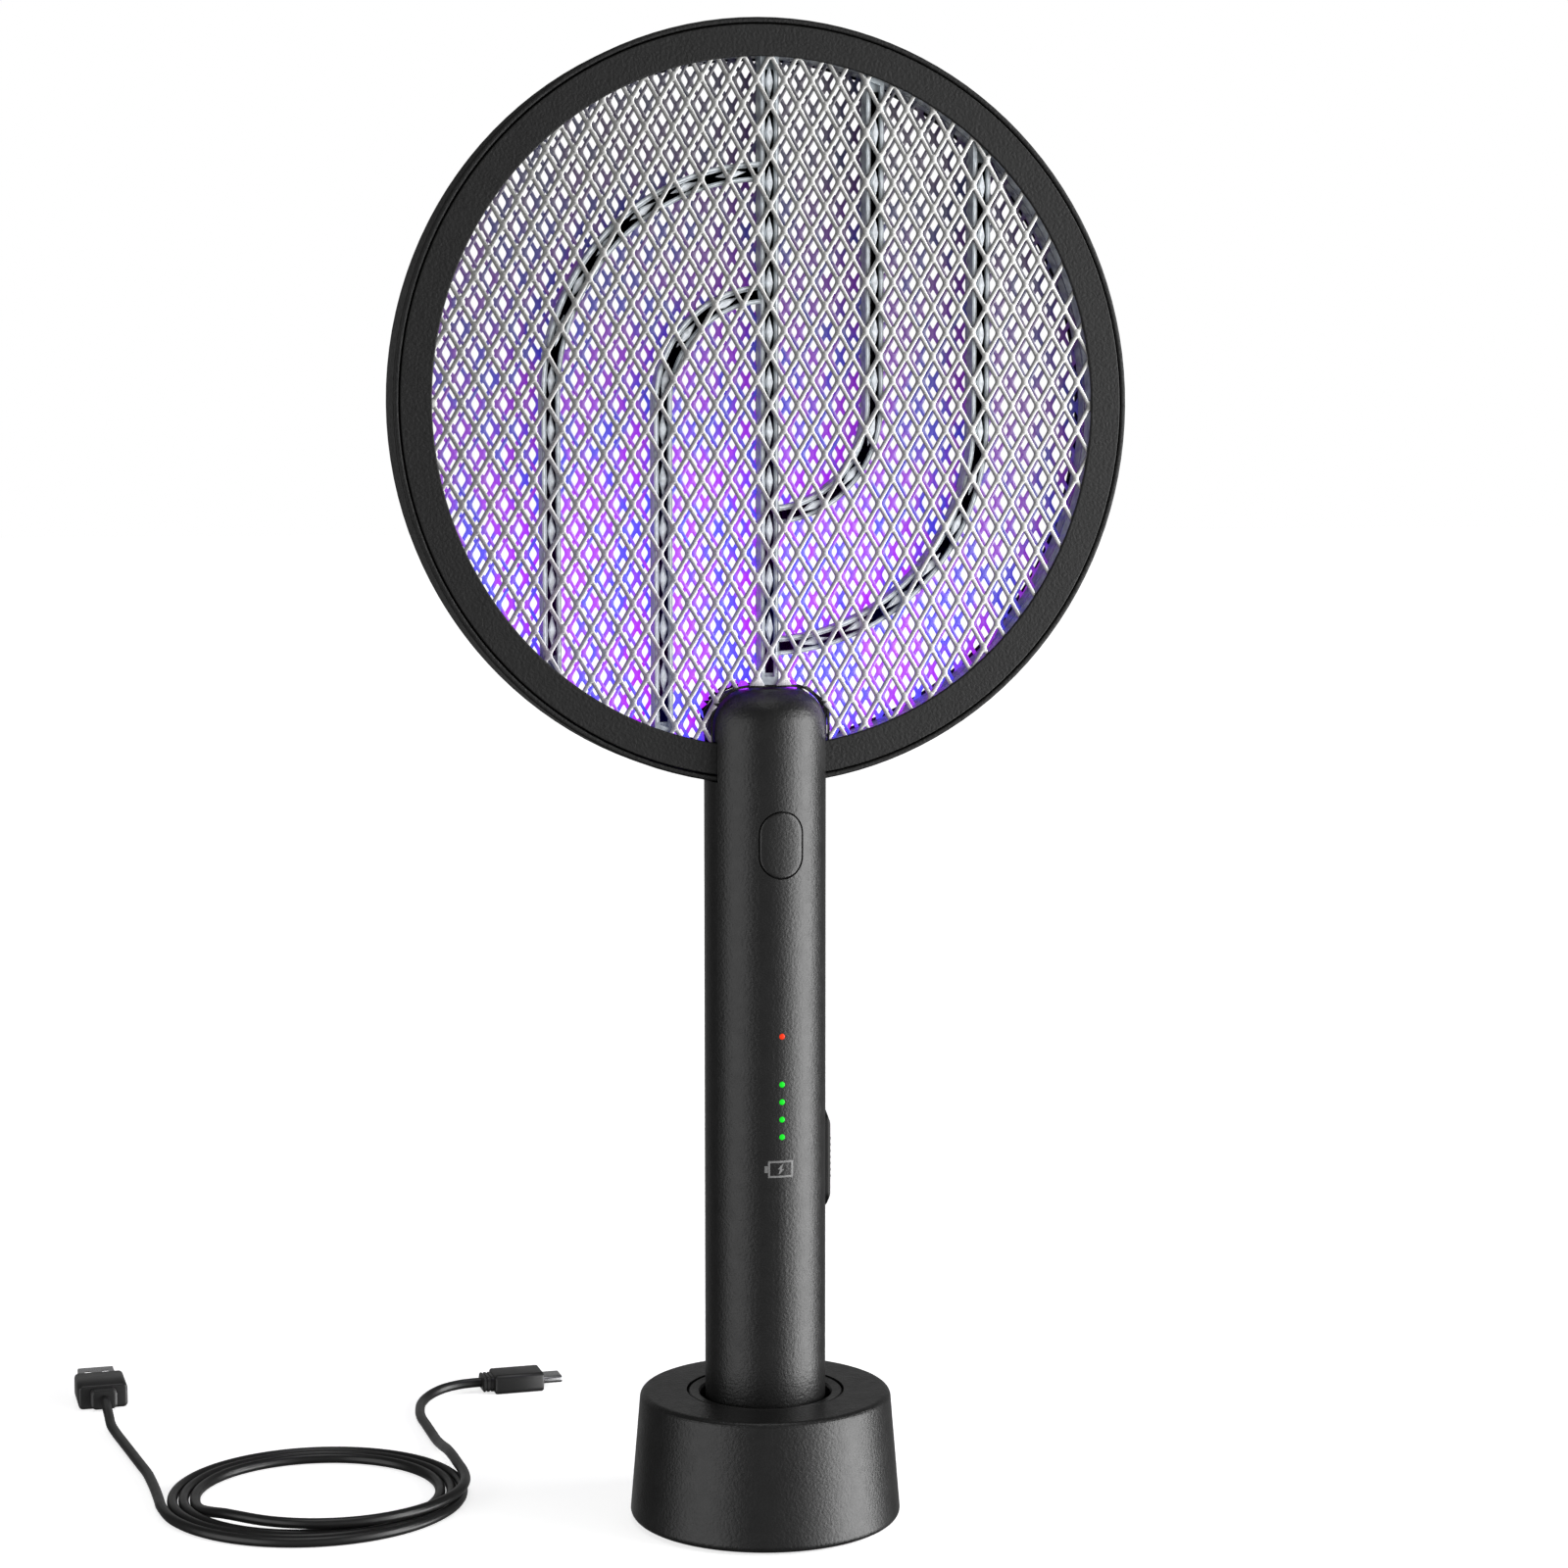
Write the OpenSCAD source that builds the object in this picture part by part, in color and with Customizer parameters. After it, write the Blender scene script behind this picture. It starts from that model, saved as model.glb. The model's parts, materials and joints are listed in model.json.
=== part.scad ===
// Electric fly swatter standing in its charging dock, with its USB lead laid on the surface beside it.
// Frame: origin under the middle of the dock, +Z up, the front face looks along -Y.

/* [Head] */
// Outer diameter of the rim
head_d = 221.2; // [216:0.2:226]
// Height of the head's centre above the surface
head_z = 332; // [331:0.5:334]
// Depth of the rim, front to back
rim_t = 14; // [13.6:0.2:15]
// Width of the flat ring round the opening
rim_w = 11.1; // [10.6:0.1:11.6]
// Thickness of each expanded-metal sheet
mesh_t = 0.8; // [0.6:0.1:1]
// Width of one strand of the expanded metal
strand_w = 1.2; // [0.9:0.1:1.5]
// Distance between two diamonds, across
pitch_x = 8.27; // [8:0.01:9]
// Distance between two diamonds, up
pitch_z = 14.3; // [14:0.1:15.5]
// Width of the front ribs that hold the sheets apart
rib_w = 5.4; // [5:0.2:7]
// Width of the plain ribs behind the middle sheet
rear_rib_w = 2.6; // [2:0.2:3.6]
// Distance of the inner upright ribs from the middle
rib_in = 32; // [30:0.5:34]
// Distance of the outer upright ribs from the middle
rib_out = 65; // [63:0.5:67]
// How far the outer arcs' centres sit off the swirl's centre
swirl_shift = 3.6; // [2:0.2:5]

/* [Handle] */
// Diameter of the handle
handle_d = 36; // [35.8:0.1:36.2]
// Wall of the two handle shells
handle_wall = 2; // [1.8:0.1:2.2]
// Height of the handle's domed top
handle_top = 249.5; // [249:0.5:250.5]
// Rounding of the handle's top edge
handle_round = 11; // [10:0.5:12]
// Height of the power button's centre
button_z = 204.6; // [204:0.2:206]
// Width of the power button's hole
button_w = 13.5; // [13:0.5:14]
// Height of the power button's hole
button_h = 20; // [19:0.5:20]
// Travel of the power button
button_travel = 1.2; // [1:0.1:1.2]
// Height of the red indicator
red_z = 148.4; // [146:0.2:152]
// Height of the top green indicator
green_z = 134.2; // [132:0.2:136]
// Distance between green indicators
green_pitch = 5.2; // [4.5:0.1:6]
// Height of the side switch's centre
switch_z = 108.5; // [108:0.5:109]
// Travel of the side switch each way
switch_travel = 4; // [3:0.5:4]

/* [Dock] */
// Height of the dock
dock_h = 38.5; // [38:0.5:39]
// Diameter across the dock's top edge
dock_top_d = 75.3; // [75:0.1:76]
// Diameter across the dock's foot
dock_bottom_d = 81.3; // [81:0.1:83]
// Wall of the dock's shell
dock_wall = 2.4; // [2.2:0.1:2.6]
// Inner diameter of the socket that takes the handle
socket_d = 37; // [36.8:0.1:37.2]
// Height of the socket's floor
socket_z = 13; // [13:0.5:14]
// Outer diameter of the collar round the socket
collar_d = 46.4; // [46:0.2:47]
// Press travel of each charging pin
pin_travel = 1.2; // [1:0.1:1.2]

/* [Lead] */
// Diameter of the charging lead
cord_d = 3.2; // [3:0.1:3.4]
// Radius of the outermost turn of the coil
coil_r = 46.4; // [46:0.1:47]

/* [Hidden] */
fine = 96;
small = 32;
gap = 0.1;                 // air left between stacked pieces
head_r = head_d / 2;
rim_in_r = head_r - rim_w; // edge of the round opening
groove = 0.4;              // line between the front ring and the rim's lip
lip_w = 1.6;
ring_r = head_r - lip_w - groove;
lip_t = 0.8;               // front and back plates of the rim
mesh_r = 102.6;
border_r = rim_in_r + 0.7; // inside edge of each sheet's solid border
front_mesh_z = rim_t / 2 - lip_t - gap;          // front face of the front sheet, from mid-depth
spacer_z = front_mesh_z - mesh_t - gap;          // front face of the front spacer
spacer_t = spacer_z - mesh_t / 2 - gap;
handle_r = handle_d / 2;
handle_in_r = handle_r - handle_wall;
shell_z = 15.7;            // lower edge of the handle shells
handle_z = socket_z + gap; // underside of the handle
seam = 0.05;               // half of the joint line between the handle shells
board_y = -9.6;            // front face of the main board
board_t = 1.6;
slot_out = head_r + 0.3;
slot_in = rim_in_r - 0.3;
passage_w = 6.4;           // opening at the rim's foot for the wires
pipe_r = 0.85;
contact_x = 5;             // charging contacts, either side of the middle
screw_spots = [[0, 24.5], [0, 97], [-8, 217.3], [8, 217.3]];
board_screw_z = [122, 212];
led_spots = [[-7.4, -2.75], [7.4, -2.75], [-7.4, 2.75], [7.4, 2.75]];
foot_h = 0.6;              // gap between the surface and the dock's shell
lead_z = cord_d / 2;
coil_x = -128;
coil_y = 52;
coil_turns = 3;
coil_pitch = 3.4;          // turns lie side by side, the last half turn on top of them
// Lead from the large plug to the coil, and from the coil to the small plug
route_a = [
  [-181, 166, 4], [-181, 158, 3.8], [-181, 150, 3], [-181, 142, 2.1], [-180, 133, 1.6],
  [-179, 124, 1.6], [-178, 115, 1.6], [-177, 106, 1.6], [-176, 97, 1.6], [-175, 88, 1.6],
  [-174.6, 79, 1.6], [-174.4, 70, 1.6], [-174.4, 61, 1.6], [-174.4, 52, 1.6]
];
route_c = [
  [-82.2, 52, 4.9], [-82.2, 61, 4.9], [-82.2, 70, 4.8], [-82.1, 79, 4], [-82, 88, 2.6],
  [-82, 97, 1.7], [-82, 106, 1.6], [-82, 115, 1.6], [-82, 124, 1.6], [-81, 132, 1.6],
  [-79, 140, 1.7], [-75, 147, 2.2], [-69, 152, 2.8], [-62, 154, 3.2], [-56, 154, 3.3]
];

// ---------- shared shapes ----------

function arc(cx, cy, r, a0, a1, n = 6) =
  [for (i = [0:n]) [cx + r * cos(a0 + (a1 - a0) * i / n), cy + r * sin(a0 + (a1 - a0) * i / n)]];

module in_head() {
  translate([0, 0, head_z]) rotate([90, 0, 0]) children();
}

module revolve(points) {
  rotate_extrude($fn = fine) polygon(points);
}

module ring(r_in, r_out, z0, z1) {
  revolve([[r_in, z0], [r_out, z0], [r_out, z1], [r_in, z1]]);
}

module tube(r_in, r_out, h) {
  difference() {
    cylinder(r = r_out, h = h, $fn = small);
    translate([0, 0, -1]) cylinder(r = r_in, h = h + 2, $fn = small);
  }
}

module stadium(w, h) {
  for (s = [-1, 1]) translate([0, s * (h - w) / 2]) circle(d = w, $fn = small);
  square([w, h - w], center = true);
}

module rounded(w, h, r) {
  for (i = [-1, 1], j = [-1, 1])
    translate([i * (w / 2 - r), j * (h / 2 - r)]) circle(r = r, $fn = small);
  square([w - 2 * r, h], center = true);
  square([w, h - 2 * r], center = true);
}

// A flat outline pushed along +Y from y0, upright
module along_y(y0, depth) {
  translate([0, y0, 0]) rotate([90, 0, 0]) translate([0, 0, -depth]) linear_extrude(depth) children();
}

// A flat outline pushed along +X from x0, upright
module along_x(x0, depth) {
  translate([x0, 0, 0]) rotate([90, 0, 90]) linear_extrude(depth) children();
}

module handle_solid(r, top, round, bottom) {
  revolve(concat([[0, bottom], [r, bottom]], arc(r - round, top - round, round, 0, 90), [[0, top]]));
}

// ---------- swept tubes ----------

function unit(v) = v / norm(v);
function heading(p, i) = unit(p[min(i + 1, len(p) - 1)] - p[max(i - 1, 0)]);
function sideways(t) = unit(cross(t, abs(t[2]) < 0.9 ? [0, 0, 1] : [1, 0, 0]));

module swept(p, r, sides) {
  last = len(p) - 1;
  points = [
    for (i = [0:last], k = [0:sides - 1])
      let (t = heading(p, i), a = sideways(t), b = cross(a, t), q = 360 * k / sides)
        p[i] + r * (cos(q) * a + sin(q) * b)
  ];
  walls = [
    for (i = [0:last - 1], k = [0:sides - 1])
      let (m = (k + 1) % sides)
        [i * sides + k, i * sides + m, (i + 1) * sides + m, (i + 1) * sides + k]
  ];
  caps = [[for (k = [sides - 1:-1:0]) k], [for (k = [0:sides - 1]) last * sides + k]];
  polyhedron(points = points, faces = concat(walls, caps));
}

module coil_spring(r, wire_r, length, turns, rings) {
  swept(
    [for (i = [0:rings]) [r * cos(360 * turns * i / rings), r * sin(360 * turns * i / rings),
      wire_r + (length - 2 * wire_r) * i / rings]],
    wire_r, 6);
}

// ---------- head ----------

module passage() {
  // local -Y is downwards here: a way through the foot of the rim for the wires
  translate([-passage_w / 2, -head_r - 1, -5.2]) cube([passage_w, head_r - rim_in_r + 1.8, 10.4]);
}

module rim_bolts(r, z0, z1) {
  for (i = [0:7])
    rotate(22.5 + 45 * i) translate([105.2, 0, z0]) cylinder(r = r, h = z1 - z0, $fn = small);
}

module front_rim() {
  face = rim_t / 2;
  color([0.13, 0.13, 0.13]) in_head() difference() {
    union() {
      revolve(concat([[rim_in_r, face - lip_t], [ring_r, face - lip_t]],
        arc(ring_r - 0.3, face - 0.3, 0.3, 0, 90, 2), arc(rim_in_r + 0.4, face - 0.4, 0.4, 90, 180, 3)));
      ring(ring_r - 1.4, ring_r, 1, face - lip_t);
      rim_bolts(2.2, -2.9, face - lip_t);
    }
    rim_bolts(0.9, -4, 3);
    passage();
  }
}

module rear_rim() {
  face = rim_t / 2;
  lip = face - 0.2;
  color([0.1, 0.1, 0.1]) in_head() difference() {
    union() {
      revolve(concat([[rim_in_r, -face], [rim_in_r, lip_t - face], [ring_r + groove, lip_t - face]],
        arc(ring_r + groove + 0.5, lip - 0.5, 0.5, 180, 90, 3), arc(head_r - 0.7, lip - 0.7, 0.7, 90, 0, 4),
        arc(head_r - 2, 2 - face, 2, 0, -90)));
      rim_bolts(2.3, lip_t - face, -3);
    }
    rim_bolts(1.2, -8, -2);
    rim_bolts(2.1, -8, 1.6 - face);
    passage();
  }
}

module rim_screws() {
  face = rim_t / 2;
  color([0.55, 0.56, 0.58]) in_head() {
    difference() {
      rim_bolts(2, 0.1 - face, 1.5 - face);
      for (i = [0:7])
        rotate(22.5 + 45 * i) translate([105.2, 0, -0.01 - face]) rotate(15)
          linear_extrude(0.8) { square([2.4, 0.6], center = true); square([0.6, 2.4], center = true); }
    }
    rim_bolts(0.85, 1.5 - face, 1);
  }
}

module notch(half_w) {
  top = handle_top - head_z + 0.35;
  low = -border_r - 1;
  for (s = [-1, 1]) translate([s * (half_w - handle_round), top - handle_round]) circle(r = handle_round, $fn = small);
  translate([-half_w, low]) square([2 * half_w, top - handle_round - low]);
  translate([handle_round - half_w, low]) square([2 * (half_w - handle_round), top - low]);
}

module diamonds(half_w) {
  a = pitch_x / 2;
  b = pitch_z / 2;
  inset = 1 - strand_w / 2 * norm([a, b]) / (a * b);
  rows = ceil(border_r / b);
  columns = ceil(border_r / pitch_x);
  for (j = [-rows:rows], i = [-columns:columns]) {
    x = (i + (abs(j) % 2) / 2) * pitch_x;
    z = j * b + b;
    inside_notch = abs(x) < half_w - a && z < handle_top - head_z - b - 2;
    if (norm([abs(x) - 1, abs(z) - 1]) < border_r && !inside_notch)
      translate([x, z]) polygon([[inset * a, 0], [0, inset * b], [-inset * a, 0], [0, -inset * b]]);
  }
}

module expanded_sheet(z0, half_w) {
  color([0.78, 0.78, 0.77]) in_head() translate([0, 0, z0]) linear_extrude(mesh_t) difference() {
    circle(r = mesh_r, $fn = fine);
    intersection() {
      circle(r = border_r, $fn = fine);
      union() {
        diamonds(half_w);
        notch(half_w);
      }
    }
  }
}

module front_mesh() {
  expanded_sheet(front_mesh_z - mesh_t, 17.5);
}

module centre_mesh() {
  expanded_sheet(-mesh_t / 2, 18.3);
}

module rear_mesh() {
  expanded_sheet(-front_mesh_z, 17.5);
}

// A quarter band from the upright at x = side * r round to the middle, curving over the top or under
module rib_arc(r, w, side, centre_z) {
  translate([0, centre_z]) intersection() {
    difference() {
      circle(r = r + w / 2, $fn = fine);
      circle(r = r - w / 2, $fn = fine);
    }
    translate([side < 0 ? -80 : 0, side < 0 ? 0 : -80]) square(80);
  }
}

module ribs(w) {
  swirl = -1.6;
  square([w, 2 * mesh_r - 4], center = true);
  for (side = [-1, 1]) {
    rib_arc(rib_out, w, side, swirl - side * swirl_shift);
    rib_arc(rib_in, w, side, 0);
    for (x = [rib_in, rib_out]) {
      end = sqrt(pow(border_r + 0.5, 2) - x * x);
      start = x == rib_out ? swirl - side * swirl_shift : 0;
      low = side < 0 ? -end : start;
      high = side < 0 ? start : end;
      translate([side * x - w / 2, low]) square([w, high - low]);
    }
  }
}

module spacer_outline(w) {
  difference() {
    union() {
      difference() {
        circle(r = mesh_r, $fn = fine);
        circle(r = border_r - 0.2, $fn = fine);
      }
      intersection() {
        circle(r = border_r + 1, $fn = fine);
        ribs(w);
      }
    }
    notch(18.3);
    translate([-passage_w / 2, -mesh_r - 1]) square([passage_w, 6]);
  }
}

module spacer(z0, w) {
  in_head() translate([0, 0, z0]) linear_extrude(spacer_t) spacer_outline(w);
}

// The front ribs have a shallow channel along their face
module front_spacer() {
  color([0.42, 0.44, 0.46]) difference() {
    spacer(mesh_t / 2 + gap, rib_w);
    in_head() translate([0, 0, spacer_z - 1.2]) linear_extrude(2) difference() {
      intersection() {
        circle(r = border_r - 2, $fn = fine);
        ribs(rib_w - 2.4);
      }
      notch(21.3);
      translate([-22, -border_r]) square([44, handle_top - head_z + border_r + 3.4]);
    }
  }
}

module rear_spacer() {
  color([0.42, 0.44, 0.46]) spacer(-spacer_z, rear_rib_w);
}

// ---------- light and wires at the neck ----------

module uv_leds() {
  color([0.55, 0.25, 0.95]) for (s = led_spots) translate([s[0], s[1], handle_top - 6.4]) {
    cylinder(r = 1.5, h = 7.2, $fn = small);
    translate([0, 0, 7.2]) sphere(r = 1.5, $fn = small);
    cylinder(r = 1.9, h = 1, $fn = small);
  }
}

module uv_led_board() {
  color([0.1, 0.35, 0.2]) translate([-10.5, -5, handle_top - 8.1]) cube([21, 10, 1.6]);
}

module hv_leads() {
  color([0.8, 0.1, 0.1]) for (y = [-4.2, 0, 4.2])
    translate([0, y, 214.1]) cylinder(r = 0.7, h = head_z - mesh_r - 0.2 - 214.1, $fn = small);
}

module uv_leads() {
  color([0.9, 0.9, 0.9]) for (s = [-1, 1])
    translate([s * 2.2, s * 2.2, 214.1]) cylinder(r = 0.6, h = handle_top - 8.15 - 214.1, $fn = small);
}

// ---------- handle ----------

module rim_slot() {
  in_head() ring(slot_in, slot_out, -rim_t / 2 - 0.15, rim_t / 2 + 0.15);
}

module handle_half(front) {
  difference() {
    intersection() {
      handle_solid(handle_r, handle_top, handle_round, shell_z);
      translate([-20, front ? -20 : seam, 0]) cube([40, 20 - seam, 260]);
    }
    handle_solid(handle_in_r, handle_top - handle_wall, handle_round - handle_wall, shell_z - 1);
    rim_slot();
    for (s = led_spots)
      translate([s[0], s[1], handle_top - 10]) cylinder(r = 1.6, h = 12, $fn = small);
    translate([0, 0, switch_z]) along_x(14, 6) stadium(3.8, 9.4 + 2 * switch_travel);
  }
}

// Posts on the inside wall, from the seam outwards, cut back to the handle's round
module seam_posts(front, r) {
  intersection() {
    handle_solid(handle_r - 0.5, handle_top, handle_round, shell_z);
    for (s = screw_spots)
      translate([s[0], front ? -1 : seam, s[1]]) rotate([front ? 90 : -90, 0, 0])
        cylinder(r = r, h = 18, $fn = small);
  }
}

module handle_front() {
  color([0.12, 0.12, 0.12]) difference() {
    union() {
      handle_half(true);
      seam_posts(true, 2.8);
      for (x = [-9, 9], z = board_screw_z)
        translate([x, board_y - gap, z]) rotate([90, 0, 0]) cylinder(r = 1.8, h = 4.4, $fn = small);
    }
    for (s = screw_spots)
      translate([s[0], 0, s[1]]) rotate([90, 0, 0]) cylinder(r = 0.9, h = 10, $fn = small);
    for (x = [-9, 9], z = board_screw_z)
      translate([x, board_y + 1, z]) rotate([90, 0, 0]) cylinder(r = 0.7, h = 4, $fn = small);
    translate([0, 0, button_z]) along_y(-20, 10) stadium(button_w, button_h);
    translate([0, -10, red_z]) rotate([90, 0, 0]) cylinder(r = pipe_r + 0.05, h = 10, $fn = small);
    for (i = [0:3])
      translate([0, -10, green_z - i * green_pitch]) rotate([90, 0, 0])
        cylinder(r = pipe_r + 0.05, h = 10, $fn = small);
  }
}

module handle_back() {
  color([0.12, 0.12, 0.12]) difference() {
    union() {
      handle_half(false);
      seam_posts(false, 2.8);
    }
    for (s = screw_spots) translate([s[0], -1, s[1]]) rotate([-90, 0, 0]) {
      cylinder(r = 1.3, h = 20, $fn = small);
      translate([0, 0, 12.4]) cylinder(r = 2.3, h = 10, $fn = small);
    }
  }
}

module handle_screws() {
  color([0.5, 0.5, 0.52]) for (s = screw_spots) translate([s[0], 0, s[1]]) rotate([-90, 0, 0]) difference() {
    union() {
      translate([0, 0, -8]) cylinder(r = 0.85, h = 17, $fn = small);
      translate([0, 0, 0.1]) cylinder(r = 1.1, h = 11.4, $fn = small);
      translate([0, 0, 11.45]) cylinder(r = 2.1, h = 1.7, $fn = small);
    }
    translate([0, 0, 12.35]) linear_extrude(2) { square([2.6, 0.6], center = true); square([0.6, 2.6], center = true); }
  }
}

module handle_end_cap() {
  color([0.12, 0.12, 0.12]) difference() {
    union() {
      revolve(concat([[0, handle_z], [handle_r - 1.2, handle_z]],
        arc(handle_r - 1.2, handle_z + 1.2, 1.2, -90, 0, 4), [[handle_r, shell_z - gap], [0, shell_z - gap]]));
      ring(handle_in_r - 1.6, handle_in_r - 0.05, shell_z - 1, 20.5);
    }
    for (x = [-contact_x, contact_x]) translate([x, 0, handle_z - 1]) {
      cylinder(r = 2.2, h = 3, $fn = small);
      cylinder(r = 1.3, h = 8, $fn = small);
    }
    translate([-3.2, -17, shell_z]) cube([6.4, 34, 6]);
  }
}

module charge_contacts() {
  color([0.85, 0.68, 0.3]) for (x = [-contact_x, contact_x]) translate([x, 0, handle_z + pin_travel]) {
    cylinder(r = 2.1, h = 0.7, $fn = small);
    cylinder(r = 1.2, h = 4, $fn = small);
  }
}

module main_board() {
  color([0.08, 0.35, 0.18]) difference() {
    translate([-12, board_y, 101]) cube([24, board_t, 113]);
    for (x = [-9, 9], z = board_screw_z)
      translate([x, 0, z]) rotate([90, 0, 0]) cylinder(r = 0.9, h = 20, $fn = small);
  }
}

module board_screws() {
  color([0.6, 0.6, 0.62]) for (x = [-9, 9], z = board_screw_z) translate([x, board_y + board_t + 0.05, z]) {
    rotate([90, 0, 0]) cylinder(r = 0.65, h = 4.6, $fn = small);
    rotate([-90, 0, 0]) cylinder(r = 1.5, h = 1, $fn = small);
  }
}

module battery_cell() {
  color([0.15, 0.35, 0.7]) translate([0, 5.5, 28]) revolve([
    [0, 0], [8.7, 0], [9.25, 0.5], [9.25, 63.2], [8.7, 63.8], [3, 63.8], [3, 65], [0, 65]]);
}

module battery_tabs() {
  color([0.75, 0.75, 0.73]) {
    translate([-6.5, -6.4, 27.7]) cube([9.5, 15.4, 0.2]);
    translate([-3, -6.4, 93.1]) cube([9.5, 15.4, 0.2]);
  }
}

module battery_leads() {
  color([0.75, 0.1, 0.1]) for (p = [[-5, 27.95], [5, 93.35]]) translate([p[0], -5.5, 0]) {
    translate([0, 0, p[1]]) cylinder(r = 0.7, h = 104 - p[1], $fn = small);
    translate([0, 0, 104]) rotate([90, 0, 0]) cylinder(r = 0.7, h = 2.45, $fn = small);
    translate([0, 0, 104]) sphere(r = 0.7, $fn = small);
  }
}

module hv_transformer() {
  rear = board_y + board_t + 0.05;
  color([0.9, 0.75, 0.2]) {
    translate([-7, rear, 178]) cube([14, 12, 4]);
    translate([-7, rear, 192]) cube([14, 12, 4]);
    translate([-5, rear + 1.5, 182]) cube([10, 9, 10]);
  }
}

module hv_capacitors() {
  rear = board_y + board_t + 0.05;
  color([0.7, 0.25, 0.1]) for (z = [136, 148, 160]) translate([0, rear, z]) along_y(0, 9) rounded(15, 8, 2);
}

module indicator_leds() {
  color([0.95, 0.95, 0.9]) for (z = [red_z, for (i = [0:3]) green_z - i * green_pitch])
    translate([-0.8, board_y - 0.85, z - 0.6]) cube([1.6, 0.8, 1.2]);
}

module light_pipe(z) {
  translate([0, board_y - 1, z]) rotate([90, 0, 0]) cylinder(r = pipe_r, h = handle_r + board_y - 0.95, $fn = small);
}

module red_light_pipe() {
  color([0.9, 0.12, 0.08]) light_pipe(red_z);
}

module green_light_pipes() {
  color([0.15, 0.85, 0.2]) for (i = [0:3]) light_pipe(green_z - i * green_pitch);
}

// ---------- power button ----------

module power_button() {
  color([0.15, 0.15, 0.15]) {
    intersection() {
      translate([0, 0, button_z]) along_y(-19, 6.4) stadium(button_w - 0.7, button_h - 0.7);
      cylinder(r = handle_r + 0.15, h = 260, $fn = fine);
    }
    intersection() {
      translate([0, 0, button_z]) along_y(-16.5, 3.9) stadium(button_w + 1.6, button_h + 2);
      cylinder(r = handle_in_r - 0.1, h = 260, $fn = fine);
    }
  }
}

module switch_plunger() {
  color([0.2, 0.2, 0.2]) translate([0, -11.1, button_z]) rotate([90, 0, 0]) cylinder(r = 1.6, h = 1.5, $fn = small);
}

module tact_switch() {
  color([0.3, 0.3, 0.32]) translate([0, 0, button_z]) difference() {
    along_y(board_y - 1.65, 1.6) rounded(6, 6, 0.6);
    rotate([90, 0, 0]) cylinder(r = 1.75, h = 20, $fn = small);
  }
}

module button_spring() {
  color([0.7, 0.7, 0.72]) translate([0, -9.65, button_z]) rotate([90, 0, 0]) coil_spring(5, 0.25, 2.9, 2.5, 40);
}

// ---------- side switch ----------

module switch_bezel() {
  color([0.1, 0.1, 0.1]) difference() {
    intersection() {
      translate([0, 0, switch_z]) along_x(10, 12) stadium(12, 30.6);
      cylinder(r = 20.4, h = 260, $fn = fine);
    }
    cylinder(r = handle_r + 0.03, h = 260, $fn = fine);
    translate([0, 0, switch_z]) along_x(18.8, 5) stadium(8.4, 27);
    translate([0, 0, switch_z]) along_x(10, 12) stadium(3.8, 9.4 + 2 * switch_travel);
  }
}

module mode_knob() {
  color([0.2, 0.2, 0.2]) translate([0, 0, switch_z]) difference() {
    union() {
      along_x(18.95, 1.5) stadium(7.6, 17);
      along_x(13.7, 5.5) rounded(3, 5, 0.5);
    }
    for (i = [-2:2]) translate([20.1, -5, i * 2.4 - 0.4]) cube([1, 10, 0.8]);
  }
}

module slide_switch() {
  color([0.45, 0.45, 0.46]) translate([8.6, board_y + board_t + 0.05, switch_z - 9]) cube([5, 12.4, 18]);
}

// ---------- dock ----------

function dock_edge(h) = (dock_bottom_d + (dock_top_d - dock_bottom_d) * h / dock_h) / 2;

module dock_bosses(r, z0, z1) {
  for (a = [0, 180, 270]) rotate(a) translate([32.4, 0, z0]) cylinder(r = r, h = z1 - z0, $fn = small);
}

module dock_shell() {
  color([0.12, 0.12, 0.12]) difference() {
    union() {
      difference() {
        revolve(concat([[0, foot_h], [dock_edge(0) - 2.4, foot_h]],
          arc(dock_edge(2) - 2, foot_h + 2, 2, -80, 0), arc(dock_edge(dock_h) - 2, dock_h - 2, 2, 5, 90),
          [[0, dock_h]]));
        revolve([[0, -1], [dock_edge(0) - dock_wall, -1], [dock_edge(0) - dock_wall, 3],
          [dock_edge(dock_h) - dock_wall - 1, dock_h - dock_wall], [0, dock_h - dock_wall]]);
      }
      intersection() {
        dock_bosses(2.8, 3.2, dock_h - 1);
        cylinder(r1 = dock_edge(0) - 1, r2 = dock_edge(dock_h) - 1, h = dock_h, $fn = fine);
      }
    }
    translate([0, 0, -1]) cylinder(r = collar_d / 2 + 0.4, h = dock_h + 2, $fn = fine);
    dock_bosses(0.9, 2, 14);
    translate([0, 0, 8.4]) along_y(30, 15) stadium_flat(10, 4.4);
  }
}

module stadium_flat(w, h) {
  rotate(90) stadium(h, w);
}

module dock_collar() {
  r = socket_d / 2;
  color([0.1, 0.1, 0.1]) difference() {
    revolve([[0, socket_z - 2.4], [r + 2, socket_z - 2.4], [r + 2, 33], [collar_d / 2 + 2.6, 33],
      [collar_d / 2 + 2.6, dock_h - dock_wall - gap], [collar_d / 2, dock_h - dock_wall - gap],
      [collar_d / 2, dock_h - 0.7], [collar_d / 2 - 0.5, dock_h - 0.2], [r + 1.6, dock_h - 0.5],
      [r + 1.1, dock_h - 1.2], [r, dock_h - 7], [r, socket_z], [0, socket_z]]);
    for (x = [-contact_x, contact_x])
      translate([x, 0, socket_z - 3]) cylinder(r = 1.65, h = 4, $fn = small);
  }
}

module dock_base_plate() {
  color([0.1, 0.1, 0.1]) difference() {
    translate([0, 0, 1]) cylinder(r = dock_edge(0) - dock_wall - 0.3, h = 2, $fn = fine);
    for (a = [45:90:315]) rotate(a) translate([29, 0, 0]) cylinder(r = 4.7, h = 2, $fn = small);
    dock_bosses(1.2, 0, 4);
    dock_bosses(2.4, 0, 2.1);
  }
}

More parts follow.
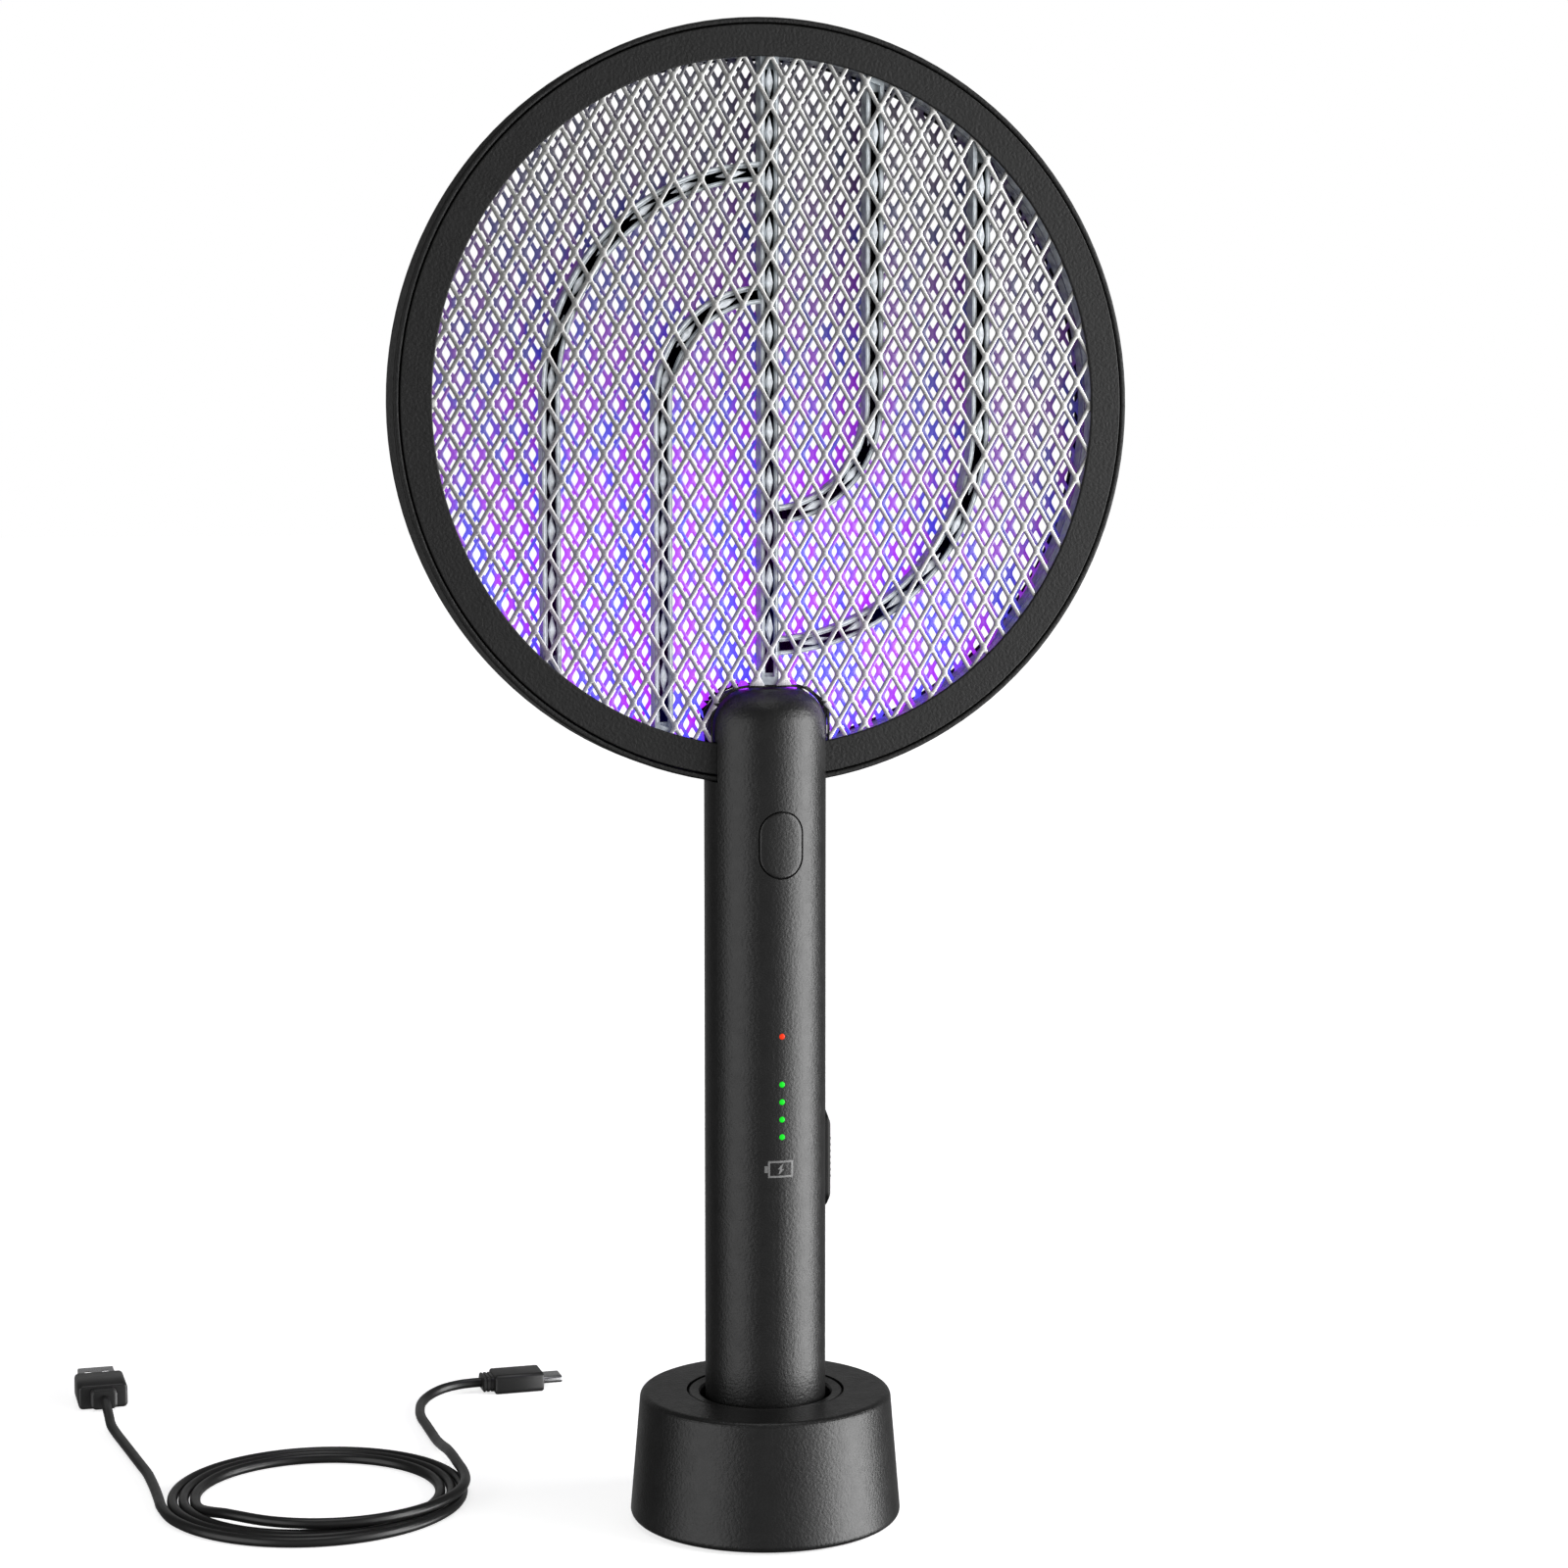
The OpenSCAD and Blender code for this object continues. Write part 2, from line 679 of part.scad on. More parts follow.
module dock_feet() {
  color([0.05, 0.05, 0.05]) for (a = [45:90:315]) rotate(a) translate([29, 0, 0]) revolve_small([
    [0, 0], [4.1, 0], [4.6, 0.5], [4.6, 1.95], [0, 1.95]]);
}

module revolve_small(points) {
  rotate_extrude($fn = small) polygon(points);
}

module dock_screws() {
  color([0.55, 0.56, 0.58]) difference() {
    union() {
      dock_bosses(0.85, 1.5, 11);
      dock_bosses(2.2, 1, 2.05);
    }
    for (a = [0, 180, 270]) rotate(a) translate([32.4, 0, 0.9]) linear_extrude(0.6) {
      square([2.6, 0.6], center = true);
      square([0.6, 2.6], center = true);
    }
  }
}

module dock_ballast() {
  color([0.5, 0.5, 0.52]) difference() {
    ring(21.2, 29, 3.1, 15);
    translate([-11, 0, 0]) cube([22, 40, 40]);
  }
}

module dock_board() {
  color([0.08, 0.35, 0.18]) union() {
    translate([0, 0, 4]) cylinder(r = 16, h = 1.6, $fn = fine);
    translate([-9, 0, 4]) cube([18, 35.4, 1.6]);
  }
}

module usb_socket() {
  color([0.75, 0.76, 0.78]) translate([0, 0, 8.4]) difference() {
    union() {
      along_y(31, 7.3) stadium_flat(8.94, 3.2);
      for (s = [-1, 1]) translate([s * 3.6 - 0.4, 32, -2.75]) cube([0.8, 4, 2]);
    }
    along_y(32, 8) stadium_flat(8.34, 2.6);
  }
}

module usb_socket_tongue() {
  color([0.1, 0.1, 0.1]) translate([-3.3, 32.05, 8.05]) cube([6.6, 4.6, 0.7]);
}

module pin_barrels() {
  color([0.8, 0.65, 0.3]) for (x = [-contact_x, contact_x]) translate([x, 0, 5.65]) difference() {
    cylinder(r = 1.6, h = socket_z - 5.65, $fn = small);
    translate([0, 0, 0.8]) cylinder(r = 1.3, h = socket_z - 5.65 - 1.6, $fn = small);
    translate([0, 0, 2]) cylinder(r = 0.86, h = 10, $fn = small);
  }
}

module contact_pin(x) {
  color([0.9, 0.75, 0.4]) translate([x, 0, 0]) {
    translate([0, 0, 9.8]) cylinder(r = 1.22, h = socket_z - 0.85 - 9.8, $fn = small);
    translate([0, 0, 11]) cylinder(r = 0.8, h = socket_z + pin_travel - 0.75 - 11, $fn = small);
    translate([0, 0, socket_z + pin_travel - 0.75]) sphere(r = 0.8, $fn = small);
  }
}

module contact_pin_left() {
  contact_pin(-contact_x);
}

module contact_pin_right() {
  contact_pin(contact_x);
}

module pin_spring(x) {
  color([0.7, 0.7, 0.72]) translate([x, 0, 6.5]) coil_spring(0.95, 0.14, 3.25, 5, 60);
}

module pin_spring_left() {
  pin_spring(-contact_x);
}

module pin_spring_right() {
  pin_spring(contact_x);
}

// ---------- charging lead ----------

// The large plug lies at the start of route_a and points along +Y
module at_plug_a() {
  translate(route_a[0]) rotate([-90, 0, 0]) children();
}

// The small plug lies at the end of route_c and points along +X
module at_plug_c() {
  translate(route_c[len(route_c) - 1]) rotate([90, 0, 90]) children();
}

module usb_a_housing() {
  color([0.1, 0.1, 0.1]) at_plug_a() {
    linear_extrude(4.2) rounded(8.4, 6.4, 1.6);
    translate([0, 0, 4.1]) linear_extrude(17.8) rounded(16.2, 8, 1.6);
  }
}

module usb_a_shell() {
  color([0.8, 0.8, 0.8]) at_plug_a() translate([0, 0, 21.9]) linear_extrude(12.3) difference() {
    square([12, 4.5], center = true);
    square([11.4, 3.9], center = true);
  }
}

module usb_a_tongue() {
  color([0.92, 0.92, 0.92]) at_plug_a() translate([-5.6, 0.1, 21.9]) cube([11.2, 1.8, 11.4]);
}

module usb_c_housing() {
  color([0.1, 0.1, 0.1]) at_plug_c() {
    linear_extrude(3.9) rounded(9.2, 5.2, 1.6);
    translate([0, 0, 3.8]) linear_extrude(17) rounded(12.4, 6.6, 1.8);
  }
}

module usb_c_shell() {
  color([0.8, 0.8, 0.8]) at_plug_c() translate([0, 0, 20.8]) difference() {
    linear_extrude(6.65) stadium_flat(8.25, 2.4);
    translate([0, 0, 1]) linear_extrude(8) stadium_flat(7.65, 1.8);
  }
}

module lead_tube_a() {
  color([0.08, 0.08, 0.08]) swept(route_a, cord_d / 2, 8);
}

module lead_tube_c() {
  color([0.08, 0.08, 0.08]) swept(route_c, cord_d / 2, 8);
}

module lead_coil() {
  low = coil_r - coil_turns * coil_pitch - lead_z;
  high = coil_r + lead_z;
  top = 2 * cord_d + gap;
  color([0.08, 0.08, 0.08]) translate([coil_x, coil_y, 0]) revolve([
    [low, 0], [high, 0], [high, top - lead_z], [high - lead_z, top], [low + lead_z, top], [low, top - lead_z]]);
}

front_rim();
rear_rim();
rim_screws();
front_mesh();
centre_mesh();
rear_mesh();
front_spacer();
rear_spacer();
uv_leds();
uv_led_board();
hv_leads();
uv_leads();
handle_front();
handle_back();
handle_end_cap();
handle_screws();
charge_contacts();
main_board();
board_screws();
battery_cell();
battery_tabs();
battery_leads();
hv_transformer();
hv_capacitors();
indicator_leds();
red_light_pipe();
green_light_pipes();
power_button();
switch_plunger();
tact_switch();
button_spring();
switch_bezel();
mode_knob();
slide_switch();
dock_shell();
dock_collar();
dock_base_plate();
dock_feet();
dock_screws();
dock_ballast();
dock_board();
usb_socket();
usb_socket_tongue();
pin_barrels();
contact_pin_left();
contact_pin_right();
pin_spring_left();
pin_spring_right();
usb_a_housing();
usb_a_shell();
usb_a_tongue();
usb_c_housing();
usb_c_shell();
lead_tube_a();
lead_tube_c();
lead_coil();
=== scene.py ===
"""Looks for an electric fly swatter standing in its charging dock, with its USB lead beside it."""
import json
import math

import bmesh
import bpy
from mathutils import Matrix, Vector


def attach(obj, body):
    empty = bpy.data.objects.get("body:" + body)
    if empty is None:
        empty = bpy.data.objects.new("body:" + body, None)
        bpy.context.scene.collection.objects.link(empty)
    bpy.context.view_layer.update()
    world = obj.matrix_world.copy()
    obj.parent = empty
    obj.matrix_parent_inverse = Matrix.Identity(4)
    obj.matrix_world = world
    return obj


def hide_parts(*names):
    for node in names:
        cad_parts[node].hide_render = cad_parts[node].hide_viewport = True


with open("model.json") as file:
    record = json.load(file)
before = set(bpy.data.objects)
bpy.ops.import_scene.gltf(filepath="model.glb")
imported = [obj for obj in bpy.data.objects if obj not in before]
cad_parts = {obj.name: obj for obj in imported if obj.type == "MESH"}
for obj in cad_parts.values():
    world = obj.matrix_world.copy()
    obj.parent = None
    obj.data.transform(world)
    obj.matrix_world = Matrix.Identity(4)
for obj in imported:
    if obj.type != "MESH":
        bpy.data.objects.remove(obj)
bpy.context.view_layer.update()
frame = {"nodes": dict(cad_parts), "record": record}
NODES = frame["nodes"]
MM = 0.001

# Sizes in millimetres, as in the CAD
HEAD_Z, MESH_T, MESH_R, BORDER_R = 332.0, 0.8, 102.6, 100.2
SHEET_Y = (-5.7, 0.0, 5.7)
PITCH_X, PITCH_Z = 8.27, 14.3
RIB_IN, RIB_OUT, SWIRL, SWIRL_SHIFT = 32.0, 65.0, -1.6, 3.6
HANDLE_TOP, HANDLE_ROUND = 249.5, 11.0
NOTCH_Z, NOTCH_HALF_W, MIDDLE_NOTCH_HALF_W = HANDLE_TOP - HEAD_Z + 0.35, 17.5, 18.3
BUTTON_Z, BUTTON_W, BUTTON_H = 204.6, 13.5, 20.0
RED_Z, GREEN_Z, GREEN_PITCH, PIPE_R = 148.4, 134.2, 5.2, 0.85
SWITCH_Z, SURROUND_W, SURROUND_L, THUMB_W, THUMB_L = 108.5, 12.0, 30.6, 7.6, 17.0
CORD_D, COIL_R, COIL_X, COIL_Y, COIL_PITCH = 3.2, 46.4, -128.0, 52.0, 3.4

# Sizes in millimetres of details that the CAD leaves out or keeps simpler
LIP_W = 0.8
STRANDS, STRAND_EDGE, MIDDLE_SHIFT = (1.25, 0.9, 1.1), 0.22, 3.3
STUD_STEPS = 12
RIB_STEP = PITCH_Z / STUD_STEPS
RIB_FACE, CHANNEL_FLOOR, STUD_EDGE, STUD_TOP, LINE_TOP = -5.1, -3.9, -4.6, -5.0, -5.27
MARK_Z = 109.1


# ---------- camera ----------

# The photographed viewpoint, in metres, and the lens
CAMERA_AT = (-0.2761, -0.94858, 0.31798)
CAMERA_LOOK = (0.283574, 0.953950, -0.097805)
LENS_MM, SENSOR_MM = 77.23, 36


def make_camera():
    data = bpy.data.cameras.new("camera")
    data.lens = LENS_MM
    data.sensor_width = SENSOR_MM
    data.clip_end = 60
    camera = bpy.data.objects.new("camera", data)
    bpy.context.scene.collection.objects.link(camera)
    camera.location = CAMERA_AT
    camera.rotation_mode = "QUATERNION"
    camera.rotation_quaternion = Vector(CAMERA_LOOK).to_track_quat("-Z", "Y")
    bpy.context.scene.camera = camera


make_camera()


# ---------- mesh helpers ----------

def new_object(name, data, material, body, slot):
    obj = bpy.data.objects.new(name, data)
    bpy.context.scene.collection.objects.link(obj)
    data.materials.clear()
    data.materials.append(material)
    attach(obj, body)
    return obj


def mesh_from(name, points, faces, sharp=35):
    """A mesh from points in millimetres, smooth apart from edges sharper than the angle given."""
    mesh = bpy.data.meshes.new(name)
    mesh.from_pydata([tuple(c * MM for c in p) for p in points], [], faces)
    tidy(mesh, sharp)
    return mesh


def tidy(mesh, sharp):
    """Joins points that meet, turns the faces outwards and shades smoothly between sharp edges."""
    bm = bmesh.new()
    bm.from_mesh(mesh)
    bmesh.ops.remove_doubles(bm, verts=bm.verts, dist=2e-7)
    bmesh.ops.dissolve_degenerate(bm, edges=bm.edges, dist=1e-7)
    bmesh.ops.recalc_face_normals(bm, faces=bm.faces)
    bm.to_mesh(mesh)
    bm.free()
    mesh.shade_smooth()
    mesh.set_sharp_from_angle(angle=math.radians(sharp))
    mesh.update()


def arc(cx, cy, r, a0, a1, steps):
    """Points of an arc from one angle to another, in degrees."""
    angles = [math.radians(a0 + (a1 - a0) * i / steps) for i in range(steps + 1)]
    return [(cx + r * math.cos(a), cy + r * math.sin(a)) for a in angles]


def lofts(name, solids, sharp=35, cap_end=True):
    """Joins the rings of each solid, all of one length, and closes the ends with a face each."""
    points, faces = [], []
    for rings in solids:
        start, count = len(points), len(rings[0])
        points += [p for ring in rings for p in ring]
        last = start + (len(rings) - 1) * count
        for k in range(start, last, count):
            for i in range(count):
                j = (i + 1) % count
                faces.append((k + i, k + j, k + count + j, k + count + i))
        faces.append(tuple(range(start, start + count))[::-1])
        if cap_end:
            faces.append(tuple(range(last, last + count)))
    return mesh_from(name, points, faces, sharp)


def loft(name, rings, cap_end=True):
    return lofts(name, [rings], cap_end=cap_end)


def stadium(w, h, inset, steps):
    """Outline of a slot shape, w across and h tall, moved inwards by inset."""
    r = max(w / 2 - inset, 0.01)
    rise = (h - w) / 2
    return ([(x, z + rise) for x, z in arc(0, 0, r, 0, 180, steps)]
            + [(x, z - rise) for x, z in arc(0, 0, r, 180, 360, steps)])


def rounded(w, h, r, inset, steps=6):
    """Outline of a rounded box, moved inwards by inset."""
    w, h, r = w - 2 * inset, h - 2 * inset, max(r - inset, 0.05)
    points = []
    for cx, cy, a in ((1, 1, 0), (-1, 1, 90), (-1, -1, 180), (1, -1, 270)):
        points += arc(cx * (w / 2 - r), cy * (h / 2 - r), r, a, a + 90, steps)
    return points


def to_front(u, z, r):
    """A point on the handle's front: u is the distance across, r the radius there."""
    return (u, -math.sqrt(max(r * r - u * u, 0.0)), z)


def to_side(u, z, r):
    """A point on the handle's right side, where the switch is."""
    return (math.sqrt(max(r * r - u * u, 0.0)), u, z)


def upright(x, z, y):
    """A point of the head: x across and z up from the head's centre, at depth y."""
    return (x, y, HEAD_Z + z)


# ---------- materials ----------

# The violet lamps at the neck, in metres, and how the violet light painted on the sheets and ribs fades
# with distance
LAMPS = (-0.02, 0.0, 0.236)
PAINTED_GLOW_FADE = [(0.0, 1.0), (0.32, 0.95), (0.48, 0.5), (0.62, 0.2), (0.8, 0.04), (1.0, 0.0)]
MAGENTA, BLUE = (0.44, 0.01, 1.0), (0.07, 0.05, 1.0)
# Levels of a noise between which a colour or a roughness changes
MOTTLE = (0.3, 0.7)


class Paint:
    """A Principled material with its nodes kept at hand."""

    def __init__(self, name, color, roughness, metallic=0.0, **sockets):
        self.mat = bpy.data.materials.new(name)
        self.mat.use_nodes = True
        self.nodes = self.mat.node_tree.nodes
        self.links = self.mat.node_tree.links
        self.shader = self.nodes["Principled BSDF"]
        self.color = color
        self.set("Base Color", (*color, 1))
        self.set("Roughness", roughness)
        self.set("Metallic", metallic)
        for key, value in sockets.items():
            self.set(key.replace("_", " "), value)
        self.where = self.nodes.new("ShaderNodeTexCoord").outputs["Object"]
        self.normal = None

    def set(self, socket, value):
        self.shader.inputs[socket].default_value = value

    def join(self, out, socket):
        self.links.new(out, self.shader.inputs[socket])

    def stretch(self, scale):
        node = self.nodes.new("ShaderNodeMapping")
        node.inputs["Scale"].default_value = scale
        self.links.new(self.where, node.inputs["Vector"])
        return node.outputs["Vector"]

    def noise(self, size_mm, detail, along=None):
        node = self.nodes.new("ShaderNodeTexNoise")
        node.inputs["Scale"].default_value = 1.0 / (size_mm * MM)
        node.inputs["Detail"].default_value = detail
        self.links.new(along or self.where, node.inputs["Vector"])
        return node.outputs["Fac"]

    def cells(self, size_mm):
        node = self.nodes.new("ShaderNodeTexVoronoi")
        node.feature = "DISTANCE_TO_EDGE"
        node.inputs["Scale"].default_value = 1.0 / (size_mm * MM)
        self.links.new(self.where, node.inputs["Vector"])
        return node.outputs["Distance"]

    def ramp(self, out, stops):
        stops = list(stops)
        node = self.nodes.new("ShaderNodeValToRGB")
        elements = node.color_ramp.elements
        while len(elements) < len(stops):
            elements.new(0.5)
        for element, (at, value) in zip(elements, stops):
            element.position = at
            element.color = (*value, 1) if isinstance(value, tuple) else (value, value, value, 1)
        self.links.new(out, node.inputs["Fac"])
        return node.outputs["Color"]

    def rough(self, out, low, high):
        self.join(self.ramp(out, zip(MOTTLE, (low, high))), "Roughness")

    def tint(self, out, darker, lighter):
        dark, light = (tuple(c * factor for c in self.color) for factor in (darker, lighter))
        self.join(self.ramp(out, zip(MOTTLE, (dark, light))), "Base Color")

    def bump(self, out, height_mm, strength):
        node = self.nodes.new("ShaderNodeBump")
        node.inputs["Distance"].default_value = height_mm * MM
        node.inputs["Strength"].default_value = strength
        self.links.new(out, node.inputs["Height"])
        if self.normal is None:
            self.first_bump = node
        else:
            self.links.new(self.normal, node.inputs["Normal"])
        self.normal = node.outputs["Normal"]
        self.join(self.normal, "Normal")

    def round_top(self, from_z_mm):
        """Evens out the facets of a dome above a height, and leaves everything below it crisp."""
        soft = self.nodes.new("ShaderNodeBevel")
        soft.samples = 8
        soft.inputs["Radius"].default_value = 3.0 * MM
        height = self.nodes.new("ShaderNodeSeparateXYZ")
        self.links.new(self.where, height.inputs[0])
        above = self.maths("GREATER_THAN", height.outputs["Z"], from_z_mm * MM)
        mix = self.nodes.new("ShaderNodeMix")
        mix.data_type = "VECTOR"
        self.links.new(above, mix.inputs[0])
        self.links.new(self.nodes.new("ShaderNodeNewGeometry").outputs["Normal"], mix.inputs[4])
        self.links.new(soft.outputs[0], mix.inputs[5])
        self.links.new(mix.outputs[1], self.first_bump.inputs["Normal"])

    def painted_violet_glow(self, strength, reach_mm, all_round):
        """Painted violet light from the lamps, laid on as emission: it fades with distance and favours
        faces turned to them.
        """
        flat = self.vector("MULTIPLY", self.where, (0.9, 0.0, 1.0))
        near = self.vector("DISTANCE", flat, (LAMPS[0], 0.0, LAMPS[2]))
        fade = self.ramp(self.maths("DIVIDE", near, reach_mm * MM), PAINTED_GLOW_FADE)
        to_lamp = self.vector("NORMALIZE", self.vector("SUBTRACT", LAMPS, self.where))
        normal = self.nodes.new("ShaderNodeNewGeometry").outputs["Normal"]
        facing = self.maths("MAXIMUM", self.vector("DOT_PRODUCT", normal, to_lamp), 0.0)
        painted_share = self.maths("ADD", self.maths("MULTIPLY", facing, 1 - all_round), all_round)
        patches = self.noise(9, 2, along=self.stretch((1, 1, 0.4)))
        hue = self.ramp(patches, [(0.45, MAGENTA), (0.57, BLUE)])
        glow = self.vector("MULTIPLY", self.vector("MULTIPLY", hue, fade), painted_share)
        self.join(glow, "Emission Color")
        self.set("Emission Strength", strength)

    def maths(self, operation, *values):
        node = self.nodes.new("ShaderNodeMath")
        node.operation = operation
        return self.feed(node, values, 0)

    def vector(self, operation, *values):
        node = self.nodes.new("ShaderNodeVectorMath")
        node.operation = operation
        return self.feed(node, values, 1 if operation in ("DISTANCE", "DOT_PRODUCT") else 0)

    def feed(self, node, values, output):
        for socket, value in zip(node.inputs, values):
            if isinstance(value, (int, float, tuple)):
                socket.default_value = value
            else:
                self.links.new(value, socket)
        return node.outputs[output]


def plastic(name, color, roughness, grain_mm=0.25, height_mm=0.01, **sockets):
    paint = Paint(name, color, roughness, **sockets)
    paint.tint(paint.noise(9, 3), 0.88, 1.12)
    paint.rough(paint.noise(3.5, 3), roughness - 0.03, roughness + 0.04)
    paint.bump(paint.noise(grain_mm, 3), height_mm, 0.8)
    return paint


def metal(name, color, roughness, brushed=None):
    paint = Paint(name, color, roughness, 1.0)
    along = paint.stretch(brushed) if brushed else None
    grain = paint.noise(0.35, 3, along=along)
    paint.rough(grain, roughness * 0.8, roughness * 1.25)
    paint.bump(grain, 0.004, 0.5)
    paint.tint(paint.noise(6, 2), 0.93, 1.05)
    return paint


def satin(name, level):
    """The fine-grained black plastic of the handle, the button and the dock."""
    return plastic(name, (level, level, level), 0.36, 0.85, 0.17)


def sheet_metal(name, color, roughness, *light):
    """Expanded metal with the violet lamp light painted on as emission."""
    paint = metal(name, color, roughness)
    paint.painted_violet_glow(*light)
    return paint


def glowing(name, color, roughness, noise_mm, spread, glow, strength, **sockets):
    """A small lens that shines by itself."""
    paint = Paint(name, color, roughness, **sockets)
    paint.tint(paint.noise(noise_mm, 2), 1 - spread, 1 + spread)
    paint.set("Emission Color", (*glow, 1))
    paint.set("Emission Strength", strength)
    return paint


def outside_looks():
    rim = Paint("rim_grain", (0.007, 0.007, 0.007), 0.5, Specular_IOR_Level=0.28)
    rim.tint(rim.noise(7, 4), 0.85, 1.15)
    rim.bump(rim.cells(1.5), 0.12, 0.8)
    rim.bump(rim.noise(0.9, 3), 0.12, 0.8)
    rim.rough(rim.noise(1.2, 4), 0.44, 0.58)
    handle = satin("handle_satin", 0.009)
    handle.round_top(HANDLE_TOP - HANDLE_ROUND - 1.5)
    bezel = plastic("bezel_gloss", (0.004, 0.004, 0.004), 0.3, 0.6, 0.01, Specular_IOR_Level=0.2)
    printed = Paint("printed_mark", (0.20, 0.20, 0.20), 0.5)
    printed.tint(printed.noise(0.8, 3), 0.85, 1.1)
    return {
        "rim_plastic": rim,
        "handle_plastic": handle,
        "button_plastic": satin("button_satin", 0.010),
        "dock_plastic": satin("dock_satin", 0.009),
        "bezel_plastic": bezel,
        "knob_plastic": plastic("knob_satin", (0.02, 0.02, 0.02), 0.42, 0.2, 0.01),
        "foot_rubber": plastic("foot_rubber", (0.02, 0.02, 0.02), 0.75, 0.3, 0.03),
        "plug_plastic": plastic("plug_moulding", (0.018, 0.018, 0.018), 0.34, 0.25, 0.006),
        "cord_jacket": plastic("cord_jacket", (0.012, 0.012, 0.012), 0.33, 0.5, 0.01),
        "printed": printed}


def inside_looks():
    return {
        "switch_body": plastic("switch_body", (0.1, 0.1, 0.11), 0.4),
        "tongue_black": plastic("tongue_black", (0.02, 0.02, 0.02), 0.4),
        "tongue_white": plastic("tongue_white", (0.75, 0.75, 0.75), 0.35),
        "wire_red": plastic("wire_red", (0.5, 0.03, 0.03), 0.4),
        "wire_white": plastic("wire_white", (0.75, 0.75, 0.73), 0.4),
        "cell_wrap": plastic("cell_wrap", (0.05, 0.16, 0.45), 0.25),
        "capacitor": plastic("capacitor_dip", (0.4, 0.1, 0.04), 0.3),
        "coil_tape": plastic("coil_tape", (0.7, 0.5, 0.08), 0.45),
        "led_lens": plastic("led_lens", (0.85, 0.85, 0.8), 0.3),
        "board": plastic("board_mask", (0.02, 0.12, 0.05), 0.3)}


def metal_looks():
    return {
        "screw_steel": metal("screw_steel", (0.42, 0.43, 0.44), 0.32),
        "spring_steel": metal("spring_steel", (0.6, 0.6, 0.62), 0.28),
        "ballast_steel": metal("ballast_steel", (0.4, 0.4, 0.41), 0.45),
        "tab_nickel": metal("tab_nickel", (0.66, 0.64, 0.58), 0.3),
        "contact_gold": metal("contact_gold", (0.83, 0.62, 0.27), 0.25),
        "port_metal": metal("port_metal", (0.66, 0.67, 0.69), 0.25),
        "plug_metal": metal("plug_metal", (0.45, 0.45, 0.46), 0.3, (1, 6, 1))}


def head_looks():
    rib = Paint("rib_smoke", (0.38, 0.42, 0.45), 0.24, Specular_IOR_Level=0.6)
    rib.tint(rib.noise(2.5, 4), 0.7, 1.25)
    rib.bump(rib.noise(1.2, 3), 0.06, 0.5)
    # Painted violet light from the lamps, laid on as emission, on the rib plastic here and on the studs
    # below
    rib.painted_violet_glow(0.12, 130, 0.2)
    # A much lighter copy of the rib plastic for the studs and fine lines: painted highlight
    studs = Paint("rib_painted_highlight", (0.76, 0.80, 0.84), 0.22, Specular_IOR_Level=0.7)
    studs.tint(studs.noise(1.6, 3), 0.75, 1.2)
    studs.bump(studs.noise(0.8, 2), 0.03, 0.5)
    studs.painted_violet_glow(0.1, 130, 0.2)
    return {
        # Each sheet's last three numbers set its painted violet light: strength, reach in mm, and the share
        # given whatever the facing
        "mesh_front": sheet_metal("sheet_front", (0.44, 0.44, 0.43), 0.3, 0.2, 150, 0.25),
        "mesh_middle": sheet_metal("sheet_middle", (0.26, 0.26, 0.26), 0.42, 1.1, 205, 0.8),
        "mesh_rear": sheet_metal("sheet_rear", (0.3, 0.3, 0.3), 0.42, 1.15, 210, 0.9),
        "rib_plastic": rib,
        "rib_painted_highlight": studs,
        # A near-black copy of the rib plastic: painted shadow for the channel floor between the studs
        "rib_painted_shadow": plastic("rib_painted_shadow", (0.012, 0.013, 0.015), 0.5)}


def lens_looks():
    small = {"noise_mm": 0.6, "spread": 0.15, "strength": 0.66, "Specular_IOR_Level": 0.2}
    return {
        "uv_lens": glowing("uv_lamp", (0.25, 0.1, 0.6), 0.15, 1, 0.1, (0.42, 0.02, 1.0), 1.0),
        "red_lens": glowing("red_lens", (0.3, 0.01, 0.0), 0.35, glow=(1.0, 0.05, 0.01), **small),
        "green_lens": glowing("green_lens", (0.0, 0.25, 0.01), 0.35, glow=(0.01, 0.9, 0.02), **small)}


def make_materials():
    looks = {**outside_looks(), **inside_looks(), **metal_looks(), **head_looks(), **lens_looks()}
    return {key: paint.mat for key, paint in looks.items()}


LOOK = make_materials()


def dress_cad_nodes():
    """Gives every CAD node the material of its slot."""
    slots = {s["node"]: s["material_slot"] for s in frame["record"]["subparts"]}
    sheets = {"front_mesh": "mesh_front", "centre_mesh": "mesh_middle", "rear_mesh": "mesh_rear"}
    for name, obj in NODES.items():
        look = LOOK[sheets.get(name, slots[name])]
        obj.data.materials.clear()
        obj.data.materials.append(look)


dress_cad_nodes()


# ---------- charging lead ----------

ROUTE_A = [
    (-181, 166, 4), (-181, 158, 3.8), (-181, 150, 3), (-181, 142, 2.1), (-180, 133, 1.6),
    (-179, 124, 1.6), (-178, 115, 1.6), (-177, 106, 1.6), (-176, 97, 1.6), (-175, 88, 1.6),
    (-174.6, 79, 1.6), (-174.4, 70, 1.6), (-174.4, 61, 1.6)]
ROUTE_C = [
    (-82.2, 61, 4.9), (-82.2, 70, 4.8), (-82.1, 79, 4), (-82, 88, 2.6), (-82, 97, 1.7),
    (-82, 106, 1.6), (-82, 115, 1.6), (-82, 124, 1.6), (-81, 132, 1.6), (-79, 140, 1.7),
    (-75, 147, 2.2), (-69, 152, 2.8), (-62, 154, 3.2), (-56, 154, 3.3)]


def ease(q, a, b):
    """Rises smoothly from 0 to 1 while q goes from a to b."""
    t = min(max((q - a) / (b - a), 0.0), 1.0)
    return t * t * (3 - 2 * t)


